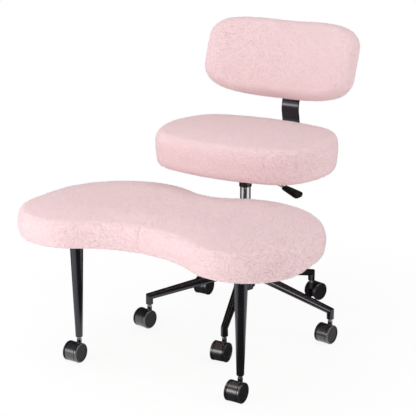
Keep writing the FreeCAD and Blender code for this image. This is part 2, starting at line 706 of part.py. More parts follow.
def back_section(along, half_height, half_thick):
    """One upright slice of the back cushion, on its bend."""
    bend, crown = number("back_bend"), number("back_crown")
    angle = along / bend
    front = half_thick - crown * half_thick / number("back_half_thick")
    round_edge = min((half_thick + front) * DEPTH_SHARE, half_height * HEIGHT_SHARE)

    def spot(depth, height):
        reach = bend + depth
        return Vector(reach * math.sin(angle), reach * math.cos(angle) - bend, height)

    def corner(depth, height):
        """Three points of a quarter round that ends at the slice's top or foot."""
        diagonal = 1 - math.sqrt(0.5)
        inward, downward = math.copysign(round_edge, depth), math.copysign(round_edge, height)
        return [spot(depth, height - downward),
                spot(depth - inward * diagonal, height - downward * diagonal), spot(depth - inward, height)]
    quarters = [corner(half_thick, half_height), corner(-front, half_height)[::-1],
                corner(-front, -half_height), corner(half_thick, -half_height)[::-1]]
    runs = [None, spot(-half_thick, 0), None, spot(half_thick, 0)]
    edges = []
    for index, quarter in enumerate(quarters):
        edges.append(Part.Arc(*quarter).toShape())
        following = quarters[(index + 1) % 4][0]
        if runs[index] is None or index == 3:
            edges.append(Part.LineSegment(quarter[2], following).toShape())
        else:
            edges.append(Part.Arc(quarter[2], runs[index], following).toShape())
    return Part.Wire(edges)


def back_cushion_form():
    parts = ("width", "height", "thick")
    half_width, half_height, half_thick = (number(f"back_half_{part}") for part in parts)
    power = number("back_power")
    slices = []
    for share in [-part for part in BACK_SHARES] + [0] + list(reversed(BACK_SHARES)):
        height = half_height * (1 - abs(share) ** power) ** (1 / power)
        edge = min(half_width * (1 - abs(share)), half_thick)
        thick = math.sqrt(half_thick ** 2 - (half_thick - edge) ** 2)
        slices.append(stored(f"back_slice_{len(slices) + 1}",
                             back_section(share * half_width, height, thick), back_placement()))
    return lofted("back_form", slices)


def on_back(item, across, depth, rise, turn=Rotation()):
    """Stand an object on the back's own axes: across, behind its middle face, and up its lean."""
    item.Placement = back_placement().multiply(Placement(Vector(across, depth, rise), turn))
    return item


def back_bracket():
    """A plate behind the back, and two webs from it to the bar."""
    front, sheet_thick = number("bracket_depth"), number("bracket_sheet")
    half, half_height = number("bracket_half"), number("bracket_half_height")
    plate = block("bracket_plate", "2 * bracket_half", "bracket_sheet", "2 * bracket_half_height")
    pieces = [on_back(plate, -half, front, -half_height)]
    spread = number("web_spread")
    for side, across in (("right", spread), ("left", -spread - sheet_thick)):
        web = block(f"bracket_web_{side}", "bracket_sheet", "bar_depth - bracket_depth",
                    "web_drop + bar_end_rise")
        pieces.append(on_back(web, across, front, -number("web_drop")))
    return pieces


def back_board():
    bend = "back_bend + back_board_front"
    outer = cylinder("back_board_rear", bend + " + back_board_thick", "back_board_height",
                     sweep="back_board_sweep")
    inner = cylinder("back_board_front_face", bend, "back_board_height")
    board = cut("back_board_bend", outer, inner)
    across = Rotation(Vector(0, 0, 1), 90 - number("back_board_sweep") / 2)
    return on_back(board, 0, -number("back_bend"), -number("back_board_height / 2"), across)


def lever():
    height = "lever_height"
    bend = ("lever_bend", "0", height)
    inner = cylinder("lever_inside", "lever_radius", "lever_bend + lever_inner",
                     ("-lever_inner", "0", height), ALONG_X)
    knee = doc.addObject("Part::Sphere", "lever_knee")
    bind(knee, Radius="lever_radius")
    place(knee, bend)
    slope = Rotation(Vector(0, 1, 0), 90 + number("lever_droop"))
    outer = cylinder("lever_outside", "lever_radius", "lever_slope_length", bend, slope)
    node(joined("lever_wire", [inner, knee, outer]), "lever_rod")

    body = doc.addObject("PartDesign::Body", "paddle")
    end = "paddle_start + paddle_length"
    shoulder = end + " - paddle_shoulder"
    nose = end + " - paddle_nose"
    sketch = polygon(body, "XY_Plane", [
        ("paddle_start", "-paddle_root"), (shoulder, "-paddle_wide"), (nose, "-paddle_wide"),
        (end, "paddle_corner - paddle_wide"), (end, "paddle_wide - paddle_corner"), (nose, "paddle_wide"),
        (shoulder, "paddle_wide"), ("paddle_start", "paddle_root")])
    pad = body.newObject("PartDesign::Pad", "paddle_pad")
    pad.Profile = sketch
    pad.Midplane = True
    bind(pad, Length="paddle_thick")
    doc.recompute()
    rim = [f"Edge{index}" for index, edge in enumerate(pad.Shape.Edges, start=1)
           if abs(edge.Vertexes[0].Z - edge.Vertexes[-1].Z) < 1e-6]
    bevel = body.newObject("PartDesign::Chamfer", "paddle_edges")
    bevel.Base = (pad, rim)
    bind(bevel, Size="paddle_bevel")
    body.Tip = bevel
    place(body, bend, Rotation(Vector(0, 1, 0), number("lever_droop")))
    node(cut("paddle_socketed", body, outer), "lever_paddle")


def seat_plate(holes):
    sheet_low = "seat_low - plate_thick"
    top = block("plate_top", "2 * plate_half", "2 * plate_half", "plate_thick",
                ("-plate_half", "-plate_half", sheet_low))
    depth = "2 * box_half_depth"
    wall_height = "seat_low - box_low"
    sides = (("right", "box_half"), ("left", "-box_half - plate_thick"))
    walls = [block(f"box_wall_{side}", "plate_thick", depth, wall_height,
                   (start, "-box_half_depth", "box_low")) for side, start in sides]
    floor = block("box_floor", "2 * box_half", depth, "plate_thick",
                  ("-box_half", "-box_half_depth", "box_low"))
    socket = cylinder("cone_outside", "cone_radius", "cone_top - cone_low", ("0", "0", "cone_low"))
    solid = joined("plate_solid", [top, *walls, floor, socket])
    taper = turned("cone_inside", [("0", "cone_low"), ("column_radius", "cone_low"),
                                   ("column_tip", "column_top"), ("0", "column_top")])
    slot = cylinder("lever_opening", "lever_slot", "plate_thick", ("box_half", "0", "lever_height"), ALONG_X)
    return cut("plate_bored", solid, taper, slot, holes)


def seat_and_back():
    bolt = bolt_master()
    plate_bolt = number("plate_half - plate_bolt_inset")
    stands = [upright(x, y, "seat_low - plate_thick") for x in (-plate_bolt, plate_bolt)
              for y in (-plate_bolt, plate_bolt)]
    bar_bolt = number("bar_width / 2 - bar_bolt_inset")
    along = [number(f"bar_start + bar_bolt_{end}") for end in ("front", "rear")]
    stands += [upright(x, y, "seat_low - bar_thick") for x in (-bar_bolt, bar_bolt) for y in along]
    seat_bolts, seat_holes = bolted("seat_bolt", bolt, stands)
    turn = Rotation(Vector(1, 0, 0), 90)
    rear = number("bracket_depth + bracket_sheet")
    aside, rise = number("back_bolt_x"), number("back_bolt_rise")
    stands = [back_placement().multiply(Placement(Vector(across, rear, height), turn))
              for across in (-aside, aside) for height in (-rise, rise)]
    back_bolts, back_holes = bolted("back_bolt", bolt, stands)
    node(grouped("bolts_of_seat", seat_bolts + back_bolts), "seat_bolts")

    up = Vector(0, 0, 1)
    arcs = seat_arcs()
    rim = outline(arcs, number("seat_board_inset"), number("seat_low"))
    board = extruded("seat_panel", rim, "board_thick", up)
    node(cut("seat_panel_bored", board, seat_holes), "seat_board")
    node(cut("seat_pad", cushion("seat", arcs), board), "seat_cushion")
    node(seat_plate(seat_holes), "seat_plate")

    strip = extruded("bar_strip", back_bar_wire(), "bar_width", Vector(1, 0, 0), symmetric=True)
    bar = joined("bar_and_bracket", [strip, *back_bracket()])
    node(cut("bar_bored", bar, seat_holes, back_holes), "back_bar")
    panel = back_board()
    node(cut("back_panel_bored", panel, back_holes), "back_board")
    node(cut("back_pad", back_cushion_form(), panel, back_holes), "back_cushion")
    return bolt


# Leg platform: a padded board on a sleeve round the column and on two legs

def platform(bolt):
    arm_low = "platform_low - arm_plate_thick"
    flange_low = "platform_low - leg_flange_thick"
    arm_bolt = number("arm_bolt_x")
    along = [number(f"arm_bolt_{end}") for end in ("rear", "front")]
    stands = [upright(x, y, arm_low) for x in (-arm_bolt, arm_bolt) for y in along]
    leg_x, leg_y = number("leg_x"), number("leg_y")
    bolt_circle = number("(leg_flange_radius + leg_top_radius) / 2")
    for side in (-leg_x, leg_x):
        for angle in (math.pi / 2 + 2 * math.pi * step / FLANGE_BOLTS for step in range(FLANGE_BOLTS)):
            stands.append(upright(side + bolt_circle * math.cos(angle), leg_y + bolt_circle * math.sin(angle),
                                  flange_low))
    bolts, holes = bolted("platform_bolt", bolt, stands)
    node(grouped("bolts_of_platform", bolts), "platform_bolts")

    arcs = platform_arcs()
    up = Vector(0, 0, 1)
    rim = outline(arcs, number("platform_board_inset"), number("platform_low"))
    board = extruded("platform_panel", rim, "board_thick", up)
    node(cut("platform_panel_bored", board, holes), "platform_board")
    node(cut("platform_pad", cushion("platform", arcs), board), "platform_cushion")

    node(ring("sleeve", "sleeve_bore", "sleeve_radius", "sleeve_low", "platform_low"), "swivel_sleeve")
    slide = "tube_radius + running_gap"
    starts = (("low", "sleeve_low"), ("high", "platform_low - sleeve_bush_height"))
    bushes = [ring(f"sleeve_bush_{end}", slide, "sleeve_bore", start, start + " + sleeve_bush_height")
              for end, start in starts]
    node(grouped("bushes_of_sleeve", bushes), "sleeve_bushes")

    plate = block("arm_plate", "2 * arm_plate_half", "-arm_plate_end", "arm_plate_thick",
                  ("-arm_plate_half", "arm_plate_end", arm_low))
    round_space = cylinder("arm_plate_space", "sleeve_radius", "platform_low")
    node(cut("arm_plate_bored", plate, round_space, holes), "platform_arm")

    leg = turned("leg", [
        ("neck_radius", "socket_low"), ("leg_low_radius", "socket_low"), ("leg_top_radius", flange_low),
        ("leg_flange_radius", flange_low), ("leg_flange_radius", "platform_low"),
        ("leg_top_radius - tube_wall", "platform_low"), ("leg_low_radius - tube_wall", "leg_hollow_low"),
        ("neck_radius", "leg_hollow_low")])
    for name, side in (("left", "-leg_x"), ("right", "leg_x")):
        stood = copied(leg, f"leg_{name}_stood", (side, "leg_y", "0"))
        node(cut(f"leg_{name}_bored", stood, holes), f"leg_{name}")


def write_nodes():
    """Write each sub-part to its own file, once nothing in the document has failed."""
    doc.recompute()
    failed = [item.Name for item in doc.Objects if {"Invalid", "Error"} & set(item.State)]
    failed += [item.Label for item in nodes if item.Shape.isNull() or not item.Shape.isValid()]
    if failed:
        raise RuntimeError("failed: " + ", ".join(failed))
    os.makedirs("parts", exist_ok=True)
    for item in nodes:
        item.Shape.exportStep(f"parts/{item.Label}.step")
        print(item.Label, len(item.Shape.Solids), round(item.Shape.Volume / 1000, 2), "cm3")


def main():
    casters()
    star_base()
    gas_lift()
    lever()
    platform(seat_and_back())
    write_nodes()


main()
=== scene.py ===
import math
from functools import partial

import bmesh
import bpy
import numpy as np
from bpy.props import FloatProperty, FloatVectorProperty, IntProperty, PointerProperty
from mathutils import Matrix, Vector, noise
from mathutils.bvhtree import BVHTree


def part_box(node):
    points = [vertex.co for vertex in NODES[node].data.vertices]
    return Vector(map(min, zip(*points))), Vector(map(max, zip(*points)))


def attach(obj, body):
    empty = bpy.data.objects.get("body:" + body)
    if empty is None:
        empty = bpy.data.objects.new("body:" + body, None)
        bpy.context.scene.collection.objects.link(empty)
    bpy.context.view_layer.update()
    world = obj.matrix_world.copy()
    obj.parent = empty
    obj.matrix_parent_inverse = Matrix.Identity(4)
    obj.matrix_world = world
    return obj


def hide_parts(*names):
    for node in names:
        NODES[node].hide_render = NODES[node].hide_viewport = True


bl_info = {
    "name": "Cross-legged chair",
    "version": (1, 0, 0),
    "blender": (4, 5, 0),
    "location": "View3D > Sidebar > Chair",
    "description": "Upholsters, paints and lights the cross-legged office chair",
    "category": "Object",
}

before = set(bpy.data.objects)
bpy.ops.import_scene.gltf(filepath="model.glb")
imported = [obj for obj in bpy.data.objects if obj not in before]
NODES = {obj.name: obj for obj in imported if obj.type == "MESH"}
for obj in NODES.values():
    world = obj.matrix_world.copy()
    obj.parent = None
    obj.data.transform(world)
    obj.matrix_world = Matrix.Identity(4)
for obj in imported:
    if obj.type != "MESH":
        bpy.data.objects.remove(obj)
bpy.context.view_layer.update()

# Cushion, the board it is stapled to, the body that carries it and how tightly it is filled.
CUSHIONS = {
    "seat": ("seat_cushion", "seat_board", "seat", 0.85),
    "back": ("back_cushion", "back_board", "seat", 0.8),
    "platform": ("platform_cushion", "platform_board", "platform", 0.85),
}
ARMS = range(1, 6)
CASTERS = range(1, 8)
STEEL = ["base_hub", "gas_cylinder", "swivel_sleeve", "platform_arm", "leg_left", "leg_right", "back_bar",
         "seat_plate"] + [f"base_arm_{index}" for index in ARMS]
CHROME = ["column_tube", "piston_rod"]
ZINC = ["base_caster_stems", "leg_caster_stems", "seat_bolts", "platform_bolts", "release_pin",
        "retaining_clip", "thrust_bearing", "lever_rod"] + [f"caster_{index}_axle" for index in CASTERS]
PALE = ["guide_bush", "sleeve_bushes"]
BOARDS = ["seat_board", "back_board", "platform_board"]
# What lies over the edge of the cover under each board.
UNDER = {"seat": ["seat_plate", "back_bar", "seat_bolts"],
         "platform": ["platform_arm", "leg_left", "leg_right", "platform_bolts"]}

BLACK = (0, 0, 0)
WHITE = (1, 1, 1)
# The pile's tones. A tuft takes the last one whose number is under its own random tone, from 0 to 1.
PILE_TONES = {"rose": -1.0, "pink": 0.4, "light": 0.78}
# Weight of the skin's direction in a tuft's shading, seeds of the random values, and depth of a tuft's foot.
SKIN_SHARE = 0.5
TUFT_SEEDS = {"stray": 5, "tone": 9, "turn": 3, "size": 7}
TUFT_ROOT = 0.0006

# Where a skin is held: near its board, and round its foot.
BOARD_HOLD, BOARD_FADE = 0.006, 0.012
FOOT_HOLD, FOOT_FADE = 0.012, 0.009
# Where a skin is bare of pile: near the back's board and bar, near the other boards, and facing the floor.
BACK_BARE, BACK_FADE = 0.004, 0.004
BOARD_BARE, BARE_FADE = 0.006, 0.002
DOWN_BARE, DOWN_FADE = 0.85, 0.2
COVER_CLOTH = {"quality": 5, "mass": 0.3, "bending_stiffness": 2.0}
# How deep into the cushion the seam is felt, the share of pile it parts, and that parting's relative width.
SEAM_REACH, SEAM_PARTING, PARTING_WIDTH = 0.03, 0.85, 0.5

# Nearness of points that are one and of the underside's faces to its lowest point, and the least divisor.
MERGED, LEVEL, LEAST_LENGTH = 1e-6, 1e-4, 1e-9
# The folded edge's space under the board, and its puckers' scale across and upwards and their depth.
HEM_SPACE = 0.0002
PUCKER_ACROSS, PUCKER_UP, PUCKER_DEPTH = 40, 9, 0.0006
# Points tried across the edge for room, and the count of points up to which a run is left out.
HEM_TRIES, HEM_SCRAP = 6, 3
# A staple's size, how far it stands off the hem, and its place across the hem's width.
STAPLE_SIZE = (0.0105, 0.0012, 0.0007)
STAPLE_DROP, STAPLE_LINE = 0.0004, 0.55
# Weld beads: sides, depth and count of ripples, and the places of the rings on the legs and the sleeve.
BEAD_SIDES, RIPPLE_DEPTH = 8, 0.12
HUB_RIPPLES, RING_RIPPLES = 22, 26
LEG_WELD_DROP, LEG_WELD_RADIUS, SLEEVE_WELD_SPACE = 0.0042, 0.0176, 0.0003
# A sloping arm's section is this much taller where it meets the upright hub.
ARM_STRETCH = 1.036

# Coat of the caster hoods, and the radii between which a wheel's coat sets in.
HOOD_COAT = 0.8
COAT_START, COAT_FULL = 0.0215, 0.0235

# Middle of the chair, and each lamp's place from there (aside, ahead and up), width and height.
MIDDLE = (0.0, -0.15, 0.4)
LAMPS = {"key": (-1.4, -1.1, 0.1, 1.2, 0.6), "fill": (2.1, -0.9, 0.6, 0.2, 1.5),
         "top": (-0.9, -0.4, 1.8, 0.6, 1.4)}
# Where the mirrored panels end: to the rear, to the eye and upwards, and what is left of them above.
PANEL_REAR, PANEL_FRONT, PANEL_TOP = (-0.1, 0.15), (0.78, 0.92), (0.25, 0.45)
PANEL_ABOVE = 0.1
FLOOR_HALF = 30.0
FLOOR_WHITE = (0.95, 0.95, 0.95, 1)
# The floor's white to the eye is least near the chair and whole from a distance outwards.
GLOW_NEAR, GLOW_FAR, GLOW_LEAST = 0.4, 1.0, 0.9


class Socket:
    """A shader socket. Sums of sockets and numbers add Math nodes to its tree."""

    def __init__(self, tree, socket):
        self.tree = tree
        self.socket = socket

    def node(self, kind, settings, values, output=0):
        """Adds a node: its settings first, then its sockets' values or links; returns one output."""
        made = self.tree.nodes.new(kind)
        for name, value in settings.items():
            if name == "stops":
                ramp_stops(made.color_ramp, value)
            else:
                setattr(made, name, value)
        for name, value in values.items():
            if isinstance(value, Socket):
                self.tree.links.new(value.socket, made.inputs[name])
            else:
                made.inputs[name].default_value = value
        return Socket(self.tree, made.outputs[output]) if made.outputs else None

    def math(self, operation, first, second=0.0):
        return self.node("ShaderNodeMath", {"operation": operation}, {0: first, 1: second})

    def __add__(self, other):
        return self.math("ADD", self, other)

    def __sub__(self, other):
        return self.math("SUBTRACT", self, other)

    def __mul__(self, other):
        return self.math("MULTIPLY", self, other)

    def __truediv__(self, other):
        return self.math("DIVIDE", self, other)

    def __rsub__(self, other):
        return self.math("SUBTRACT", other, self)

    def __rtruediv__(self, other):
        return self.math("DIVIDE", other, self)

    __radd__ = __add__
    __rmul__ = __mul__

    def wave(self):
        """0 to 1 and back along the value, once in every turn."""
        return self.math("SINE", self) * 0.5 + 0.5

    def fit(self, low, high):
        """The value, which runs from 0 to 1, spread between two others."""
        return self * (high - low) + low

    def root(self):
        return self.math("SQRT", self)

    def smooth(self, start, end, low, high):
        """Eases from one value to another while this one runs from start to end."""
        return self.node("ShaderNodeMapRange", {"interpolation_type": "SMOOTHSTEP"}, {
            "Value": self, "From Min": start, "From Max": end, "To Min": low, "To Max": high})

    def tint(self, first, second):
        """The first colour where the value is 0 and the second where it is 1."""
        return self.blend((*first, 1), second)

    def blend(self, colour, other):
        """A colour socket or RGBA colour where the value is 0, and a plain colour where it is 1."""
        return self.node("ShaderNodeMix", {"data_type": "RGBA"}, {0: self, 6: colour, 7: (*other, 1)}, 2)

    def noise(self, scale, detail=2.0, rough=0.5):
        return self.node("ShaderNodeTexNoise", {}, {
            "Vector": self, "Scale": scale, "Detail": detail, "Roughness": rough})

    def cells(self, scale):
        return self.node("ShaderNodeTexVoronoi", {}, {"Vector": self, "Scale": scale})

    def mapped(self, location=(0, 0, 0), rotation=(0, 0, 0), scale=(1, 1, 1), kind="POINT"):
        return self.node("ShaderNodeMapping", {"vector_type": kind},
                         {"Vector": self, "Location": location, "Rotation": rotation, "Scale": scale})

    def bump(self, strength, distance):
        return self.node("ShaderNodeBump", {}, {"Height": self, "Strength": strength, "Distance": distance})

    def parts(self):
        """The x, y and z of a vector."""
        return [self.node("ShaderNodeSeparateXYZ", {}, {0: self}, axis) for axis in range(3)]


def source(tree, kind, output):
    """An output of a new node that takes nothing in."""
    return Socket(tree, None).node(kind, {}, {}, output)


def ramp_stops(ramp, stops):
    """Sets a colour ramp's stops from (position, grey) pairs."""
    while len(ramp.elements) < len(stops):
        ramp.elements.new(0.5)
    for element, (position, grey) in zip(ramp.elements, stops):
        element.position = position
        element.color = (grey, grey, grey, 1)


def start_material(name):
    """An empty material and the object coordinates of what it is laid on."""
    material = bpy.data.materials.new(name)
    material.use_nodes = True
    material.node_tree.nodes.clear()
    return material, source(material.node_tree, "ShaderNodeTexCoord", "Object")


def end_material(place, **values):
    """Closes a material with one surface shader; words with a gap are written with a low dash."""
    sockets = {name.replace("_", " "): value for name, value in values.items()}
    surface = place.node("ShaderNodeBsdfPrincipled", {}, sockets)
    place.node("ShaderNodeOutputMaterial", {}, {"Surface": surface})


def plush_material(name, light, deep, flecks):
    """Short pile: uneven pinks, painted highlight flecks where tufts would catch the light, and a fine nap.
    """
    material, place = start_material(name)
    broad = place.noise(9.0, 3.0)
    tufts = place.noise(260.0, 3.0, 0.7)
    curl = place.cells(330.0)
    stops = [(0.0, 1.0), (0.16, 0.55), (0.42, 0.0)]
    spark = curl.node("ShaderNodeValToRGB", {"stops": stops}, {"Fac": curl})
    tone = (tufts * 0.75 + broad * 0.5 - 0.12).tint(deep, light)
    # The bright flecks at the cells' middles are a painted highlight, blended at most half-way into the
    # pink.
    colour = (spark * 0.5).blend(tone, flecks)
    height = tufts * 0.6 - curl * 0.8 + place.noise(900.0, 1.0) * 0.25
    end_material(place, Base_Color=colour, Roughness=tufts.fit(0.88, 1.0), Normal=height.bump(0.45, 0.0025),
                 Sheen_Weight=0.25, Sheen_Roughness=0.5, Sheen_Tint=(1.0, 0.93, 0.93, 1),
                 Specular_IOR_Level=0.1)
    return material


def fibre_material(name, colour):
    """One of the pile's tones."""
    material, place = start_material(name)
    end_material(place, Base_Color=(*colour, 1), Roughness=0.95, Specular_IOR_Level=0.08, Sheen_Weight=0.2)
    return material


def enamel_material(name="black_enamel"):
    """Stoved black paint: nearly even, with a faint orange peel and a little dust."""
    material, place = start_material(name)
    peel = place.noise(420.0, 2.0)
    wear = place.noise(26.0, 4.0, 0.6)
    colour = (wear * 0.8).tint((0.0035, 0.0034, 0.004), (0.009, 0.0085, 0.0095))
    end_material(place, Base_Color=colour, Roughness=(wear * 0.6 + peel * 0.4).fit(0.11, 0.21), IOR=1.7,
                 Specular_Tint=(0.87, 0.89, 1.0, 1), Normal=peel.bump(0.04, 0.0004))
    return material


def chrome_material(name="chrome_plate"):
    """Plated tube: bright, with hair lines drawn along it."""
    material, place = start_material(name)
    lines = place.mapped(scale=(900.0, 900.0, 6.0)).noise(1.0, 2.0)
    haze = place.noise(40.0, 3.0)
    end_material(place, Base_Color=haze.tint((0.66, 0.67, 0.69), (0.78, 0.78, 0.79)), Metallic=1.0,
                 Roughness=(lines * 0.5 + haze * 0.5).fit(0.06, 0.16), Normal=lines.bump(0.02, 0.0002))
    return material


def zinc_material(name="zinc_plate"):
    """Dull bright plating with a turned grain and a mottled sheen."""
    material, place = start_material(name)
    mottle = place.noise(160.0, 4.0, 0.65)
    turned = (place.parts()[2] * 5200.0).wave()
    end_material(place, Base_Color=mottle.tint((0.30, 0.30, 0.31), (0.46, 0.46, 0.47)), Metallic=0.95,
                 Roughness=(mottle * 0.7 + turned * 0.3).fit(0.26, 0.46),
                 Normal=(turned * 0.5 + mottle).bump(0.05, 0.0003))
    return material


def nylon_material(name, centre=None, heading=0.0):
    """Moulded black nylon; round a wheel's centre it shows the fine rings left by its mould."""
    material, place = start_material(name)
    grain = place.noise(1500.0, 2.0, 0.6)
    cloud = place.noise(55.0, 3.0)
    height = grain * 0.5
    coat = HOOD_COAT
    if centre is not None:
        local = place.mapped(location=centre, rotation=(0, 0, heading), kind="TEXTURE")
        across, along, up = local.parts()
        radius = (along * along + up * up).root()
        coat = radius.smooth(COAT_START, COAT_FULL, 0.0, 1.0)
        rings = (radius * 4200.0).wave()
        ribs = (across * 3600.0).wave()
        height = height + rings * 0.35 + ribs * 0.45
        cloud = cloud * 0.7 + rings * 0.15 + ribs * 0.15
    end_material(place, Base_Color=cloud.tint((0.008, 0.0075, 0.009), (0.018, 0.0165, 0.02)),
                 Roughness=(cloud * 0.6 + grain * 0.4).fit(0.26, 0.4), Normal=height.bump(0.12, 0.0003),
                 Specular_IOR_Level=0.2, Coat_Weight=coat, Coat_Roughness=0.28, Coat_IOR=2.0,
                 Coat_Tint=(0.93, 0.88, 1.0, 1))
    return material


def paddle_material(name="paddle_plastic"):
    """Spark-textured black plastic."""
    material, place = start_material(name)
    spark = place.noise(1900.0, 3.0, 0.65)
    cloud = place.noise(60.0)
    end_material(place, Base_Color=cloud.tint((0.005, 0.005, 0.0055), (0.012, 0.012, 0.013)),
                 Roughness=spark.fit(0.42, 0.62), Normal=spark.bump(0.2, 0.0003), Specular_IOR_Level=0.14)
    return material


def bush_material(name="pale_bush"):
    """Off-white bearing plastic."""
    material, place = start_material(name)
    cloud = place.noise(90.0, 3.0)
    end_material(place, Base_Color=cloud.tint((0.60, 0.58, 0.52), (0.72, 0.70, 0.65)),
                 Roughness=cloud.fit(0.35, 0.5), Normal=cloud.bump(0.04, 0.0003))
    return material


def plywood_material(name="plywood"):
    """Birch ply: long grain on the faces and dark glue lines across the edges."""
    material, place = start_material(name)
    grain = place.mapped(scale=(14.0, 190.0, 60.0)).noise(1.0, 5.0, 0.62)
    fleck = place.mapped(scale=(60.0, 900.0, 90.0)).noise(1.0, 2.0)
    layers = (place.parts()[2] * 2600.0).wave()
    tone = (grain * 0.7 + fleck * 0.2 + layers * 0.1).tint((0.36, 0.235, 0.13), (0.66, 0.50, 0.33))
    end_material(place, Base_Color=tone, Roughness=grain.fit(0.55, 0.75),
                 Normal=(grain + fleck * 0.5).bump(0.12, 0.0005))
    return material


def weld_material(name="painted_weld"):
    """Enamel over a rippled bead."""
    material, place = start_material(name)
    ripple = place.noise(700.0, 3.0, 0.6)
    end_material(place, Base_Color=ripple.tint((0.008, 0.008, 0.009), (0.02, 0.02, 0.021)),
                 Roughness=ripple.fit(0.2, 0.42), Normal=ripple.bump(0.25, 0.0006), Coat_Weight=0.3)
    return material


def paint(names, material):
    """Gives CAD nodes a material."""
    for name in names:
        data = NODES[name].data
        data.materials.clear()
        data.materials.append(material)


def add_piece(name, mesh, body, materials, tree=None, values=None):
    """A finished piece: linked, painted, put through its node tree if it has one, and carried by a body."""
    piece = link_object(name, mesh)
    mesh.materials.clear()
    for material in materials:
        mesh.materials.append(material)
    if tree is not None:
        run_tree(piece, tree, values)
    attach(piece, body)
    return piece


def link_object(name, data):
    """A new object in the scene."""
    made = bpy.data.objects.new(name, data)
    bpy.context.scene.collection.objects.link(made)
    return made


def settle(piece):
    """Works an object's modifiers into its mesh and takes them off."""
    graph = bpy.context.evaluated_depsgraph_get()
    mesh = bpy.data.meshes.new_from_object(piece.evaluated_get(graph), depsgraph=graph)
    old = piece.data
    piece.modifiers.clear()
    piece.data = mesh
    bpy.data.meshes.remove(old)


def mesh_from(name, form):
    """A mesh with a worked form's faces, which all face outwards."""
    bmesh.ops.recalc_face_normals(form, faces=form.faces)
    mesh = bpy.data.meshes.new(name)
    form.to_mesh(mesh)
    form.free()
    return mesh


def round_off(mesh):
    """Shades a mesh smoothly."""
    mesh.polygons.foreach_set("use_smooth", [True] * len(mesh.polygons))


def points_of(mesh):
    """A mesh's vertices as rows of x, y and z."""
    rows = np.empty(len(mesh.vertices) * 3)
    mesh.vertices.foreach_get("co", rows)
    return rows.reshape(-1, 3)


def normals_of(mesh):
    """A mesh's vertex normals as rows of x, y and z."""
    rows = np.empty(len(mesh.vertices) * 3, dtype=np.float32)
    mesh.vertex_normals.foreach_get("vector", rows)
    return rows.reshape(-1, 3).astype(float)


def move_points(mesh, rows):
    """Puts rows of x, y and z back into a mesh."""
    mesh.vertices.foreach_set("co", rows.ravel())
    mesh.update()


def tree_of(names):
    """A search tree over CAD nodes' faces."""
    corners, faces = [], []
    for name in names:
        mesh = NODES[name].data
        start = len(corners)
        corners += [vertex.co.copy() for vertex in mesh.vertices]
        faces += [[start + index for index in polygon.vertices] for polygon in mesh.polygons]
    return BVHTree.FromPolygons(corners, faces)


def held_share(rows, hard, reach, fade):
    """1 within reach of the hard parts, falling to 0 over the fade."""
    gaps = np.array([hard.find_nearest(Vector(row))[3] for row in rows])
    return np.clip((reach + fade - gaps) / fade, 0.0, 1.0)


def stuffed_mesh(label, settings):
    """A cushion's skin: the CAD form drawn in a little, then blown up by a short cloth run."""
    cushion, board, _, _ = CUSHIONS[label]
    draft = link_object("draft", NODES[cushion].data.copy())
    remesh = draft.modifiers.new("Even skin", "REMESH")
    remesh.mode = "VOXEL"
    remesh.voxel_size = settings.voxel
    settle(draft)
    form = tree_of([cushion])
    rows = points_of(draft.data)
    move_points(draft.data, np.array([form.find_nearest(Vector(row))[0] for row in rows]))
    rows = points_of(draft.data)
    hard = tree_of([board, "back_bar"] if label == "back" else [board])
    held = held_share(rows, hard, BOARD_HOLD, BOARD_FADE)
    if label != "back":
        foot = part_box(cushion)[0].z
        held = np.maximum(held, np.clip((foot + FOOT_HOLD - rows[:, 2]) / FOOT_FADE, 0.0, 1.0))
    outwards = normals_of(draft.data) * (1.0 - held)[:, None]
    rows = rows - outwards * settings.draw_in
    move_points(draft.data, rows)
    swelled = np.zeros_like(rows)
    blow_up(draft, held, settings)
    swelled = points_of(draft.data) - rows
    lengths = np.linalg.norm(swelled, axis=1)
    swelled *= np.minimum(1.0, settings.swell / np.maximum(lengths, LEAST_LENGTH))[:, None]
    move_points(draft.data, rows + eased(draft.data, swelled, settings.easing))
    finer = draft.modifiers.new("Finer", "SUBSURF")
    finer.levels = finer.render_levels = 1
    settle(draft)
    mesh = draft.data
    bpy.data.objects.remove(draft)
    mesh.name = f"{label}_plush"
    round_off(mesh)
    return mesh, hard


def eased(mesh, moves, rounds):
    """Points' moves, each drawn towards its neighbours' a number of times."""
    ends = np.empty(len(mesh.edges) * 2, dtype=np.int64)
    mesh.edges.foreach_get("vertices", ends)
    first, second = ends.reshape(-1, 2).T
    counts = np.bincount(ends, minlength=len(moves))[:, None]
    for _ in range(rounds):
        sums = np.zeros_like(moves)
        np.add.at(sums, first, moves[second])
        np.add.at(sums, second, moves[first])
        moves = (moves + sums / counts) / 2
    return moves


def blow_up(draft, held, settings):
    """Runs the cloth with air inside it and keeps its last shape."""
    scene = bpy.context.scene
    pins = draft.vertex_groups.new(name="held")
    for index, share in enumerate(held):
        if share > 0.0:
            pins.add([index], float(share), "REPLACE")
    cloth = draft.modifiers.new("Stuffing", "CLOTH")
    for name, value in COVER_CLOTH.items():
        setattr(cloth.settings, name, value)
    cloth.settings.tension_stiffness = settings.stiffness
    cloth.settings.compression_stiffness = settings.stiffness
    cloth.settings.shear_stiffness = settings.stiffness / 3
    cloth.settings.vertex_group_mass = pins.name
    cloth.settings.use_pressure = True
    cloth.settings.uniform_pressure_force = settings.pressure
    cloth.settings.effector_weights.gravity = 0.0
    cloth.point_cache.frame_start = 1
    cloth.point_cache.frame_end = settings.frames
    for number in range(1, settings.frames + 1):
        scene.frame_set(number)
    settle(draft)
    scene.frame_set(1)


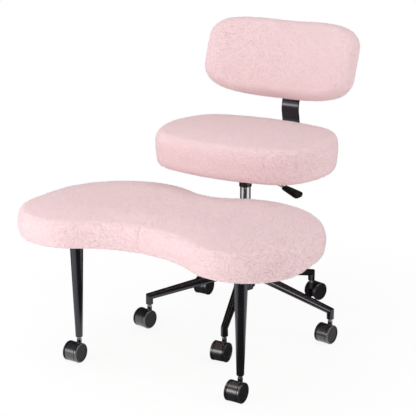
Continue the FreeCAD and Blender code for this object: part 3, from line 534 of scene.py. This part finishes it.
def press_seam(mesh, settings):
    """Sinks the sewn joint in the platform's front wall; returns how much pile is left on each point."""
    rows = points_of(mesh)
    across = Vector(settings.seam_across).normalized()
    offset = rows - np.array(settings.seam_spot)
    side = offset @ np.array(across)
    near = np.abs(offset @ np.array((across.y, -across.x, 0.0))) < SEAM_REACH
    depth = np.exp(-(side / settings.seam_width) ** 2) * near
    move_points(mesh, rows - normals_of(mesh) * (settings.seam_depth * depth)[:, None])
    parted = np.exp(-(side / (settings.seam_width * PARTING_WIDTH)) ** 2) * near
    return 1.0 - SEAM_PARTING * parted


def start_tree(name, inputs):
    """An empty geometry tree with named inputs; returns it and the sockets that they come from."""
    tree = bpy.data.node_groups.new(name, "GeometryNodeTree")
    tree.is_modifier = True
    for socket, kind in {"Geometry": "Geometry", **inputs}.items():
        tree.interface.new_socket(socket, in_out="INPUT", socket_type=f"NodeSocket{kind}")
    tree.interface.new_socket("Geometry", in_out="OUTPUT", socket_type="NodeSocketGeometry")
    return tree, tree.nodes.new("NodeGroupInput").outputs


def add_node(tree, kind, values, **options):
    """Adds a node with its options set and its sockets filled or linked; returns its outputs."""
    node = tree.nodes.new(kind)
    for key, value in options.items():
        setattr(node, key, value)
    for key, value in values.items():
        if isinstance(value, bpy.types.NodeSocket):
            tree.links.new(value, node.inputs[key])
        else:
            node.inputs[key].default_value = value
    return node.outputs


def pile_tree(settings, materials, tuft):
    """Geometry nodes that plant leaning tufts over a skin and keep only the tufts."""
    tree, enter = start_tree("Pile", {"Density": "Float", "Seed": "Int"})
    make = partial(add_node, tree)

    def named(name):
        return make("GeometryNodeInputNamedAttribute", {"Name": name}, data_type="FLOAT")["Attribute"]

    def vectors(operation, values):
        return make("ShaderNodeVectorMath", values, operation=operation)["Vector"]

    def random(low, high, use):
        return make("FunctionNodeRandomValue", {2: low, 3: high, "Seed": TUFT_SEEDS[use]},
                    data_type="FLOAT")[1]

    def stored(points, name, value, kind):
        return make("GeometryNodeStoreNamedAttribute", {"Geometry": points, "Name": name, "Value": value},
                    data_type=kind, domain="POINT")[0]

    thick = make("ShaderNodeMath", {0: named("pile"), 1: enter["Density"]}, operation="MULTIPLY")
    scatter = make("GeometryNodeDistributePointsOnFaces", {
        "Mesh": enter["Geometry"], "Density": thick[0], "Seed": enter["Seed"]})
    swirl = make("ShaderNodeTexNoise", {"Scale": settings.swirl_scale, "Detail": 1.0})["Color"]
    swirl = vectors("SUBTRACT", {0: swirl, 1: (0.5, 0.5, 0.5)})
    lean = vectors("SCALE", {0: swirl, 3: settings.lean})
    shake = make("FunctionNodeRandomValue", {
        0: (-0.5,) * 3, 1: (0.5,) * 3, "Seed": TUFT_SEEDS["stray"]}, data_type="FLOAT_VECTOR")
    stray = vectors("SCALE", {0: shake[0], 3: settings.stray})
    grown = vectors("ADD", {0: vectors("ADD", {0: scatter["Normal"], 1: lean}), 1: stray})
    points = stored(scatter["Points"], "root", scatter["Normal"], "FLOAT_VECTOR")
    points = stored(points, "tone", random(0.0, 1.0, "tone"), "FLOAT")
    stand = make("FunctionNodeAlignRotationToVector", {"Vector": grown}, axis="Z")
    angle = random(0.0, math.tau, "turn")
    turn = make("FunctionNodeAxisAngleToRotation", {"Axis": (0, 0, 1), "Angle": angle})
    spin = make("FunctionNodeRotateRotation", {"Rotation": stand[0], "Rotate By": turn[0]},
                rotation_space="LOCAL")
    shape = make("GeometryNodeObjectInfo", {"Object": tuft})
    plant = make("GeometryNodeInstanceOnPoints", {
        "Points": points, "Instance": shape["Geometry"], "Rotation": spin[0],
        "Scale": random(settings.shortest, 1.0, "size")})
    shown = make("GeometryNodeRealizeInstances", {"Geometry": plant[0]})[0]
    for material, least in zip(materials, PILE_TONES.values()):
        picked = make("FunctionNodeCompare", {0: named("tone"), 1: least}, operation="GREATER_THAN")
        shown = make("GeometryNodeSetMaterial", {
            "Geometry": shown, "Selection": picked[0], "Material": material})[0]
    make("NodeGroupOutput", {0: shown})
    return tree


def staple_tree(staple, material):
    """Geometry nodes that set staples along a line at an even pitch."""
    tree, enter = start_tree("Staples", {"Pitch": "Float"})
    make = partial(add_node, tree)
    line = make("GeometryNodeMeshToCurve", {0: enter["Geometry"]})
    spots = make("GeometryNodeCurveToPoints", {"Curve": line[0], "Length": enter["Pitch"]}, mode="LENGTH")
    along = make("FunctionNodeAlignRotationToVector", {"Vector": spots["Tangent"]}, axis="X")
    shape = make("GeometryNodeObjectInfo", {"Object": staple})
    plant = make("GeometryNodeInstanceOnPoints", {
        "Points": spots["Points"], "Instance": shape["Geometry"], "Rotation": along[0]})
    whole = make("GeometryNodeRealizeInstances", {"Geometry": plant[0]})
    dressed = make("GeometryNodeSetMaterial", {"Geometry": whole[0], "Material": material})
    make("NodeGroupOutput", {0: dressed[0]})
    return tree


def run_tree(piece, tree, values):
    """Evaluates a node tree on a piece with its named inputs set, and keeps the plain mesh."""
    modifier = piece.modifiers.new("Repeat", "NODES")
    modifier.node_group = tree
    for item in tree.interface.items_tree:
        if item.in_out == "INPUT" and item.name in values:
            modifier[item.identifier] = values[item.name]
    settle(piece)


def tuft_object(settings):
    """A slim three-sided point, its foot a little under the skin."""
    base = settings.tuft_width / math.sqrt(3.0)
    turns = (0.0, math.tau / 3, 2 * math.tau / 3)
    foot = [(base * math.cos(turn), base * math.sin(turn), -TUFT_ROOT) for turn in turns]
    mesh = bpy.data.meshes.new("tuft")
    sides = [(2, 1, 0), (0, 1, 3), (1, 2, 3), (2, 0, 3)]
    mesh.from_pydata(foot + [(0.0, 0.0, settings.length)], [], sides)
    return link_object("tuft", mesh)


def staple_object():
    """A staple's back, as a bar."""
    form = bmesh.new()
    bmesh.ops.create_cube(form, size=1.0, matrix=Matrix.Diagonal((*STAPLE_SIZE, 1.0)))
    return link_object("staple", mesh_from("staple", form))


def set_share(mesh, name, values):
    """Stores one number per vertex."""
    attribute = mesh.attributes.new(name, "FLOAT", "POINT")
    attribute.data.foreach_set("value", np.asarray(values, dtype=np.float32))


def board_rim(name, step):
    """Points at even steps round the rim of a board's underside, the ways out from it, and its height."""
    form = bmesh.new()
    form.from_mesh(NODES[name].data)
    bmesh.ops.remove_doubles(form, verts=form.verts, dist=MERGED)
    low = min(vertex.co.z for vertex in form.verts)
    # A list keeps the faces in order, so that the rim starts at the same point in each run.
    under = [face for face in form.faces if max(vertex.co.z for vertex in face.verts) < low + LEVEL]
    flat = set(under)
    before = {loop.link_loop_next.vert: loop.vert for face in under for loop in face.loops
              if any(other not in flat for other in loop.edge.link_faces)}
    rings = []
    while before:
        start, point = before.popitem()
        ring = [start.co.to_2d()]
        while point != start:
            ring.append(point.co.to_2d())
            point = before.pop(point)
        rings.append(np.array(ring + ring[:1]))
    form.free()
    rim = max(rings, key=lambda ring: np.ptp(ring, axis=0).sum())
    lengths = np.append(0.0, np.cumsum(np.linalg.norm(np.diff(rim, axis=0), axis=1)))
    spots = np.linspace(0.0, lengths[-1], round(lengths[-1] / step), endpoint=False)
    rim = np.column_stack([np.interp(spots, lengths, rim[:, axis]) for axis in (0, 1)])
    along = np.roll(rim, -1, axis=0) - np.roll(rim, 1, axis=0)
    along /= np.linalg.norm(along, axis=1)[:, None]
    return rim, np.column_stack((along[:, 1], -along[:, 0])), low


def open_runs(rim, ways, low, covers, settings):
    """The stretches of a rim that no hard part lies over, each as a list of indices."""
    tree = tree_of(covers)
    height = low - settings.hem_thick / 2
    reaches = np.linspace(-settings.hem_width, settings.hem_lap, HEM_TRIES)
    bare = []
    for point, way in zip(rim, ways):
        spots = [point + way * reach for reach in reaches]
        gaps = [tree.find_nearest(Vector((x, y, height)))[3] for x, y in spots]
        bare.append(min(gaps) > settings.hem_gap)
    first = bare.index(False)
    runs = [[]]
    for index in range(first, first + len(rim)):
        if bare[index % len(rim)]:
            runs[-1].append(index % len(rim))
        else:
            runs.append([])
    return [run for run in runs if len(run) > HEM_SCRAP]


def hem_mesh(rim, ways, low, runs, settings):
    """The edge of the cover, folded under the board and laid flat, with puckers in its lower face."""
    outer, inner = rim + ways * settings.hem_lap, rim - ways * settings.hem_width
    upper, lower = (-HEM_SPACE, 0.0), (-settings.hem_thick, PUCKER_DEPTH)
    section = ((outer, *upper), (outer, *lower), (inner, *lower), (inner, *upper))
    form = bmesh.new()
    for run in runs:
        rows = []
        for ring, height, pucker in section:
            rows.append([])
            for x, y in ring[run]:
                spot = Vector((x * PUCKER_ACROSS, y * PUCKER_ACROSS, height * PUCKER_UP))
                dip = abs(noise.noise(spot)) * pucker
                rows[-1].append(form.verts.new((x, y, low + height - dip)))
        for first, second in zip(rows, rows[1:] + rows[:1]):
            for index in range(len(run) - 1):
                form.faces.new((first[index], first[index + 1], second[index + 1], second[index]))
        for end in (0, -1):
            form.faces.new([row[end] for row in rows])
    return mesh_from("hem", form)


def bead_mesh(name, loops, radius, ripples):
    """Rippled weld beads, each along a closed loop of points."""
    form = bmesh.new()
    turns = [math.tau * side / BEAD_SIDES for side in range(BEAD_SIDES)]
    for loop in loops:
        count = len(loop)
        rings = []
        for index, point in enumerate(loop):
            ahead = (loop[(index + 1) % count] - loop[index - 1]).normalized()
            first = ahead.orthogonal().normalized()
            second = ahead.cross(first)
            size = radius * (1.0 + RIPPLE_DEPTH * math.sin(ripples * math.tau * index / count))
            rings.append([form.verts.new(point + (first * math.cos(turn) + second * math.sin(turn)) * size)
                          for turn in turns])
        join_rings(form, rings)
    mesh = mesh_from(name, form)
    round_off(mesh)
    return mesh


def join_rings(form, rings):
    """Skins rings in a closed row, turning each to lie nearest the one before it."""
    sides = len(rings[0])
    for index, ring in enumerate(rings):
        after = rings[(index + 1) % len(rings)]
        shift = min(range(sides), key=lambda step: sum(
            (ring[side].co - after[(side + step) % sides].co).length for side in range(sides)))
        for side in range(sides):
            ahead = (side + 1) % sides
            form.faces.new((ring[side], ring[ahead], after[(ahead + shift) % sides],
                            after[(side + shift) % sides]))


def round_loop(x, y, z, radius, count=72):
    """A level ring of points."""
    turns = [math.tau * index / count for index in range(count)]
    return [Vector((x + radius * math.cos(turn), y + radius * math.sin(turn), z)) for turn in turns]


def arm_loop(heading, settings, count=64):
    """The line where a base arm meets the hub."""
    spin = Matrix.Rotation(heading, 3, "Z")
    loop = []
    for index in range(count):
        turn = math.tau * index / count
        across = settings.arm_radius * math.cos(turn)
        out = math.sqrt(settings.hub_radius ** 2 - across ** 2)
        rise = settings.arm_radius * math.sin(turn) * ARM_STRETCH
        height = settings.arm_height - settings.arm_fall * out + rise
        loop.append(spin @ Vector((out, across, height)))
    return loop


class CushionSettings(bpy.types.PropertyGroup):
    """How the cushions are stuffed and covered."""

    voxel: FloatProperty(name="Grid", description="Spacing of the skin before it is subdivided",
                         default=0.006, unit="LENGTH")
    draw_in: FloatProperty(name="Draw in", description="How far the skin starts inside the CAD form",
                           default=0.001, unit="LENGTH")
    swell: FloatProperty(name="Swell", description="Most that a point of the skin may move",
                         default=0.004, unit="LENGTH")
    easing: IntProperty(name="Easing", description="Rounds of smoothing of the cover's swell", default=5)
    pressure: FloatProperty(name="Pressure", description="Air pressure of the cloth run", default=0.4)
    stiffness: FloatProperty(name="Stiffness", description="Stretch stiffness of the cover", default=15.0)
    frames: IntProperty(name="Frames", description="Length of the cloth run", default=20)
    seam_spot: FloatVectorProperty(name="Seam", description="A point on the platform's seam",
                                   default=(-0.009, -0.488, 0.36), subtype="XYZ")
    seam_across: FloatVectorProperty(name="Across the seam", default=(1.0, 0.0, 0.0), subtype="DIRECTION",
                                     description="Direction along the wall at the seam")
    seam_width: FloatProperty(name="Seam width", description="Half the width of the seam's groove",
                              default=0.003, unit="LENGTH")
    seam_depth: FloatProperty(name="Seam depth", description="Depth of the seam's groove", default=0.002,
                              unit="LENGTH")
    light: FloatVectorProperty(name="Light", description="Lighter colour of the covers", subtype="COLOR",
                               default=(0.86, 0.662, 0.677))
    deep: FloatVectorProperty(name="Deep", description="Deeper colour of the covers", subtype="COLOR",
                              default=(0.79, 0.572, 0.585))
    # The flecks' colour is a painted highlight on the covers.
    flecks: FloatVectorProperty(name="Flecks", description="Colour of the covers' flecks", subtype="COLOR",
                                default=(0.92, 0.767, 0.773))


class PileSettings(bpy.types.PropertyGroup):
    """The plush cover's tufts."""

    density: FloatProperty(name="Density", description="Tufts on a square metre", default=100000.0)
    length: FloatProperty(name="Length", description="Longest tuft", default=0.0024, unit="LENGTH")
    tuft_width: FloatProperty(name="Width", description="Width of a tuft's foot", default=0.0027,
                              unit="LENGTH")
    shortest: FloatProperty(name="Shortest", description="Shortest tuft as a share of the longest",
                            default=0.55, subtype="FACTOR")
    lean: FloatProperty(name="Lean", description="How far clumps of tufts lean", default=0.35)
    stray: FloatProperty(name="Stray", description="How far single tufts lean", default=0.35)
    swirl_scale: FloatProperty(name="Swirl", description="How close together the clumps are", default=120.0)
    seed: IntProperty(name="Seed", description="Start of the tufts' scatter", default=11)
    rose: FloatVectorProperty(name="Rose", description="Colour of the deepest tufts", subtype="COLOR",
                              default=(0.845, 0.640, 0.655))
    pink: FloatVectorProperty(name="Pink", description="Colour of the middling tufts", subtype="COLOR",
                              default=(0.86, 0.662, 0.677))
    light: FloatVectorProperty(name="Light", description="Colour of the palest tufts", subtype="COLOR",
                               default=(0.885, 0.705, 0.714))


class FixingSettings(bpy.types.PropertyGroup):
    """Welds, hems and staples."""

    hub_radius: FloatProperty(name="Hub", description="Radius of the base hub", default=0.028, unit="LENGTH")
    arm_radius: FloatProperty(name="Arm", description="Radius of a base arm at the hub", default=0.0131,
                              unit="LENGTH")
    arm_height: FloatProperty(name="Arm height", description="Height of an arm's axis over the middle",
                              default=0.1505, unit="LENGTH")
    arm_fall: FloatProperty(name="Arm fall", description="Fall of an arm for each unit outwards",
                            default=0.2735)
    bead: FloatProperty(name="Bead", description="Radius of a weld bead", default=0.0022, unit="LENGTH")
    hem_width: FloatProperty(name="Hem", description="Width of the cover's folded edge", default=0.017,
                             unit="LENGTH")
    hem_lap: FloatProperty(name="Hem lap", description="How far the folded edge starts outside the board",
                           default=0.004, unit="LENGTH")
    hem_gap: FloatProperty(name="Hem gap", description="Room between the folded edge and hard parts",
                           default=0.002, unit="LENGTH")
    hem_step: FloatProperty(name="Hem step", description="Spacing of the folded edge's points",
                            default=0.005, unit="LENGTH")
    hem_thick: FloatProperty(name="Hem thickness", description="Thickness of the folded edge",
                             default=0.0022, unit="LENGTH")
    staple_pitch: FloatProperty(name="Staple pitch", description="Distance between staples", default=0.026,
                                unit="LENGTH")
    hem_light: FloatVectorProperty(name="Hem light", description="Lighter colour of the folded edge",
                                   subtype="COLOR", default=(0.78, 0.57, 0.58))
    hem_deep: FloatVectorProperty(name="Hem deep", description="Deeper colour of the folded edge",
                                  subtype="COLOR", default=(0.63, 0.43, 0.44))
    # The folded edge's flecks are a painted highlight, as on the covers.
    hem_flecks: FloatVectorProperty(name="Hem flecks", description="Colour of the folded edge's flecks",
                                    subtype="COLOR", default=(0.86, 0.70, 0.70))


class StageSettings(bpy.types.PropertyGroup):
    """Camera, lamps and surroundings."""

    eye: FloatVectorProperty(name="Eye", description="Where the camera stands", unit="LENGTH",
                             default=(1.6266, -2.9079, 1.3179), subtype="TRANSLATION")
    azimuth: FloatProperty(name="Azimuth", description="Direction the camera looks from", subtype="ANGLE",
                           default=math.radians(30.9))
    pitch: FloatProperty(name="Pitch", description="How far the camera looks down", subtype="ANGLE",
                         default=math.radians(16.7))
    lens: FloatProperty(name="Lens", description="Focal length in millimetres", default=114.84)
    key: FloatProperty(name="Key", description="Power of the lamp at the front left", default=9.0)
    fill: FloatProperty(name="Fill", description="Power of the lamp at the right", default=9.0)
    top: FloatProperty(name="Top", description="Power of the lamp overhead", default=9.5)
    ambient: FloatProperty(name="Ambient", description="Strength of the surrounding light", default=0.8)
    mirrored: FloatProperty(name="Mirrored", description="Strength of the surroundings in reflections",
                            default=0.06)
    panel: FloatProperty(name="Panels", description="Strength of the side panels in reflections",
                         default=0.95)


class CHAIR_OT_cushions(bpy.types.Operator):
    """Makes the three plush cushions"""

    bl_idname = "chair.cushions"
    bl_label = "Cushions"

    def execute(self, context):
        settings = context.scene.chair_cushions
        plush = plush_material("pink_plush", settings.light, settings.deep, settings.flecks)
        for label, (cushion, _, body, fill) in CUSHIONS.items():
            mesh, hard = stuffed_mesh(label, settings)
            pile = np.ones(len(mesh.vertices))
            if label == "platform":
                pile = press_seam(mesh, settings)
            rows = points_of(mesh)
            if label == "back":
                pile = pile * (1.0 - held_share(rows, hard, BACK_BARE, BACK_FADE))
            else:
                level = np.clip((normals_of(mesh)[:, 2] + DOWN_BARE) / DOWN_FADE, 0.0, 1.0)
                pile = pile * level * (1.0 - held_share(rows, hard, BOARD_BARE, BARE_FADE))
            set_share(mesh, "pile", pile)
            piece = add_piece(f"{label}_plush", mesh, body, [plush])
            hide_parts(cushion)
        return {"FINISHED"}


class CHAIR_OT_pile(bpy.types.Operator):
    """Plants the tufts of the plush on the cushions"""

    bl_idname = "chair.pile"
    bl_label = "Pile"

    def execute(self, context):
        settings = context.scene.chair_pile
        tones = [fibre_material(f"pile_{tone}", getattr(settings, tone)) for tone in PILE_TONES]
        tuft = tuft_object(settings)
        tree = pile_tree(settings, tones, tuft)
        values = {"Density": settings.density, "Seed": settings.seed}
        for label, (_, _, body, _) in CUSHIONS.items():
            skin = bpy.data.objects[f"{label}_plush"].data
            mesh = add_piece(f"{label}_pile", skin.copy(), body, tones, tree, values).data
            roots = np.empty(len(mesh.vertices) * 3, dtype=np.float32)
            mesh.attributes["root"].data.foreach_get("vector", roots)
            round_off(mesh)
            roots = roots.reshape(-1, 3) * SKIN_SHARE + normals_of(mesh)
            mesh.normals_split_custom_set_from_vertices(roots.tolist())
        bpy.data.objects.remove(tuft)
        return {"FINISHED"}


class CHAIR_OT_steelwork(bpy.types.Operator):
    """Paints the base, legs, bar and plates"""

    bl_idname = "chair.steelwork"
    bl_label = "Painted steel"

    def execute(self, context):
        paint(STEEL, enamel_material())
        return {"FINISHED"}


class CHAIR_OT_bright_parts(bpy.types.Operator):
    """Plates the column, stems, bolts and lever rod, and colours the bushes"""

    bl_idname = "chair.bright_parts"
    bl_label = "Plated parts and bushes"

    def execute(self, context):
        paint(CHROME, chrome_material())
        paint(ZINC, zinc_material())
        paint(PALE, bush_material())
        return {"FINISHED"}


class CHAIR_OT_casters(bpy.types.Operator):
    """Gives the casters their moulded nylon"""

    bl_idname = "chair.casters"
    bl_label = "Casters"

    def execute(self, context):
        paint([f"caster_{index}_body" for index in CASTERS], nylon_material("hood_nylon"))
        for index in CASTERS:
            axle = f"caster_{index}_axle"
            low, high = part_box(axle)
            rows = points_of(NODES[axle].data)[:, :2]
            across = rows - rows.mean(axis=0)
            far = across[np.argmax(np.abs(across[:, 0]))]
            heading = math.atan2(far[1], far[0])
            nylon = nylon_material(f"wheel_nylon_{index}", tuple((low + high) / 2), heading)
            paint([f"caster_{index}_wheel_right", f"caster_{index}_wheel_left"], nylon)
        return {"FINISHED"}


class CHAIR_OT_lever(bpy.types.Operator):
    """Colours the lever's paddle"""

    bl_idname = "chair.lever"
    bl_label = "Lever paddle"

    def execute(self, context):
        paint(["lever_paddle"], paddle_material())
        return {"FINISHED"}


class CHAIR_OT_boards(bpy.types.Operator):
    """Grains the boards, and folds and staples the covers under them"""

    bl_idname = "chair.boards"
    bl_label = "Boards, hems and staples"

    def execute(self, context):
        settings = context.scene.chair_fixings
        paint(BOARDS, plywood_material())
        cloth = plush_material("hem_cloth", settings.hem_light, settings.hem_deep, settings.hem_flecks)
        wire = zinc_material("staple_wire")
        staple = staple_object()
        tree = staple_tree(staple, wire)
        values = {"Pitch": settings.staple_pitch}
        for label, covers in UNDER.items():
            _, board, body, _ = CUSHIONS[label]
            rim, ways, low = board_rim(board, settings.hem_step)
            runs = open_runs(rim, ways, low, covers, settings)
            hem = hem_mesh(rim, ways, low, runs, settings)
            add_piece(f"{label}_hem", hem, body, [cloth])
            line = bpy.data.meshes.new("line")
            height = low - settings.hem_thick - STAPLE_DROP
            spots = rim - ways * settings.hem_width * STAPLE_LINE
            edges = [pair for run in runs for pair in zip(run[1:-2], run[2:-1])]
            line.from_pydata([(x, y, height) for x, y in spots], edges, [])
            add_piece(f"{label}_staples", line, body, [wire], tree, values)
        bpy.data.objects.remove(staple)
        return {"FINISHED"}


class CHAIR_OT_welds(bpy.types.Operator):
    """Lays the weld beads at the hub, the flanges and the sleeve"""

    bl_idname = "chair.welds"
    bl_label = "Welds"

    def execute(self, context):
        settings = context.scene.chair_fixings
        enamel = weld_material()
        arms = [arm_loop(math.tau * index / len(ARMS), settings) for index in range(len(ARMS))]
        beads = bead_mesh("hub_welds", arms, settings.bead, HUB_RIPPLES)
        add_piece("hub_welds", beads, "base", [enamel])
        rings = []
        for leg in ("leg_left", "leg_right"):
            low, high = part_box(leg)
            rings.append(round_loop((low.x + high.x) / 2, (low.y + high.y) / 2, high.z - LEG_WELD_DROP,
                                    LEG_WELD_RADIUS))
        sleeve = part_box("swivel_sleeve")[1].x + SLEEVE_WELD_SPACE
        rings.append(round_loop(0.0, 0.0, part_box("platform_arm")[0].z, sleeve))
        beads = bead_mesh("platform_welds", rings, settings.bead, RING_RIPPLES)
        add_piece("platform_welds", beads, "platform", [enamel])
        return {"FINISHED"}


class CHAIR_OT_stage(bpy.types.Operator):
    """Sets the floor, the surroundings, the lamps and the camera"""

    bl_idname = "chair.stage"
    bl_label = "Stage"

    def execute(self, context):
        settings = context.scene.chair_stage
        scene = context.scene
        scene.view_settings.view_transform = "Standard"
        lay_floor(settings)
        set_surroundings(scene, settings)
        side = Vector((math.cos(settings.azimuth), math.sin(settings.azimuth), 0.0))
        ahead = Vector((-math.sin(settings.azimuth), math.cos(settings.azimuth), 0.0))
        up = Vector((0.0, 0.0, 1.0))
        middle = Vector(MIDDLE)
        for name, (aside, onward, rise, width, height) in LAMPS.items():
            place = middle + side * aside + ahead * onward + up * rise
            hang_lamp(name.title(), place, middle, getattr(settings, name), width, height)
        sight = ahead * math.cos(settings.pitch) - up * math.sin(settings.pitch)
        camera = link_object("Camera", bpy.data.cameras.new("Camera"))
        camera.location = settings.eye
        camera.rotation_mode = "QUATERNION"
        camera.rotation_quaternion = sight.to_track_quat("-Z", "Y")
        camera.data.sensor_width = 36.0
        camera.data.lens = settings.lens
        camera.data.clip_end = 100.0
        scene.camera = camera
        return {"FINISHED"}


def panels(x, y, settings):
    """What bright parts mirror along a heading: white panels at both sides, dark before and behind."""
    facing = x * math.sin(settings.azimuth) - y * math.cos(settings.azimuth)
    risen = facing.smooth(*PANEL_REAR, settings.mirrored, settings.panel)
    return risen - facing.smooth(*PANEL_FRONT, 0.0, settings.panel - settings.mirrored)


def lay_floor(settings):
    """A wide pale floor: white to the eye where it is lit and grey under the chair, mostly by its own glow;
    in reflections it glows as painted side panels, bright at both sides and dark before and behind.
    """
    mesh = bpy.data.meshes.new("floor")
    corners = [(x * FLOOR_HALF, y * FLOOR_HALF, 0) for x, y in ((-1, -1), (1, -1), (1, 1), (-1, 1))]
    mesh.from_pydata(corners, [], [(0, 1, 2, 3)])
    material, place = start_material("floor_white")
    seen = source(material.node_tree, "ShaderNodeLightPath", "Is Camera Ray")
    mirrored = source(material.node_tree, "ShaderNodeLightPath", "Is Glossy Ray")
    plain = place.node("ShaderNodeBsdfDiffuse", {}, {"Color": FLOOR_WHITE})
    x, y, _ = place.parts()
    out = (x * x + y * y).root()
    sides = panels(x / out, y / out, settings)
    # In reflections the floor is a painted glow of bright side panels, standing in for softboxes, not its
    # lit surface.
    glow = place.node("ShaderNodeEmission", {}, {"Color": (seen + mirrored * sides).tint(BLACK, WHITE)})
    share = seen * out.smooth(GLOW_NEAR, GLOW_FAR, GLOW_LEAST, 1.0) + mirrored
    mixed = place.node("ShaderNodeMixShader", {}, {0: share, 1: plain, 2: glow})
    place.node("ShaderNodeOutputMaterial", {}, {"Surface": mixed})
    mesh.materials.append(material)
    return [link_object("floor", mesh)]


def set_surroundings(scene, settings):
    """White all round for the eye, softer as light, and panels in reflections."""
    world = bpy.data.worlds.new("Surroundings")
    world.use_nodes = True
    tree = world.node_tree
    tree.nodes.clear()
    seen = source(tree, "ShaderNodeLightPath", "Is Camera Ray")
    mirrored = source(tree, "ShaderNodeLightPath", "Is Glossy Ray")
    x, y, z = source(tree, "ShaderNodeTexCoord", "Generated").parts()
    direct = settings.ambient + seen * (1.0 - settings.ambient)
    tall = z.smooth(*PANEL_TOP, 1.0, PANEL_ABOVE)
    strength = direct + mirrored * (panels(x, y, settings) * tall - settings.ambient)
    glow = seen.node("ShaderNodeBackground", {}, {"Color": strength.tint(BLACK, WHITE)})
    seen.node("ShaderNodeOutputWorld", {}, {"Surface": glow})
    scene.world = world


def hang_lamp(name, place, aim, power, width, height):
    """One soft rectangular lamp."""
    lamp = bpy.data.lights.new(name, "AREA")
    lamp.shape = "RECTANGLE"
    lamp.size = width
    lamp.size_y = height
    lamp.energy = power
    hung = link_object(name, lamp)
    hung.location = place
    hung.rotation_mode = "QUATERNION"
    hung.rotation_quaternion = (aim - place).to_track_quat("-Z", "Y")


STEPS = (CHAIR_OT_cushions, CHAIR_OT_pile, CHAIR_OT_steelwork, CHAIR_OT_bright_parts, CHAIR_OT_casters,
         CHAIR_OT_lever, CHAIR_OT_boards, CHAIR_OT_welds, CHAIR_OT_stage)


class CHAIR_PT_build(bpy.types.Panel):
    """Lists the steps that dress the chair"""

    bl_idname = "CHAIR_PT_build"
    bl_label = "Cross-legged chair"
    bl_space_type = "VIEW_3D"
    bl_region_type = "UI"
    bl_category = "Chair"

    def draw(self, context):
        for step in STEPS:
            self.layout.operator(step.bl_idname)


GROUPS = {"chair_cushions": CushionSettings, "chair_pile": PileSettings, "chair_fixings": FixingSettings,
          "chair_stage": StageSettings}


def register():
    for name, group in GROUPS.items():
        bpy.utils.register_class(group)
        setattr(bpy.types.Scene, name, PointerProperty(type=group))
    for item in (*STEPS, CHAIR_PT_build):
        bpy.utils.register_class(item)


def unregister():
    for item in reversed((*STEPS, CHAIR_PT_build)):
        bpy.utils.unregister_class(item)
    for name, group in GROUPS.items():
        delattr(bpy.types.Scene, name)
        bpy.utils.unregister_class(group)


def main():
    register()
    for step in STEPS:
        group, name = step.bl_idname.split(".")
        getattr(getattr(bpy.ops, group), name)()


if __name__ == "__main__":
    main()
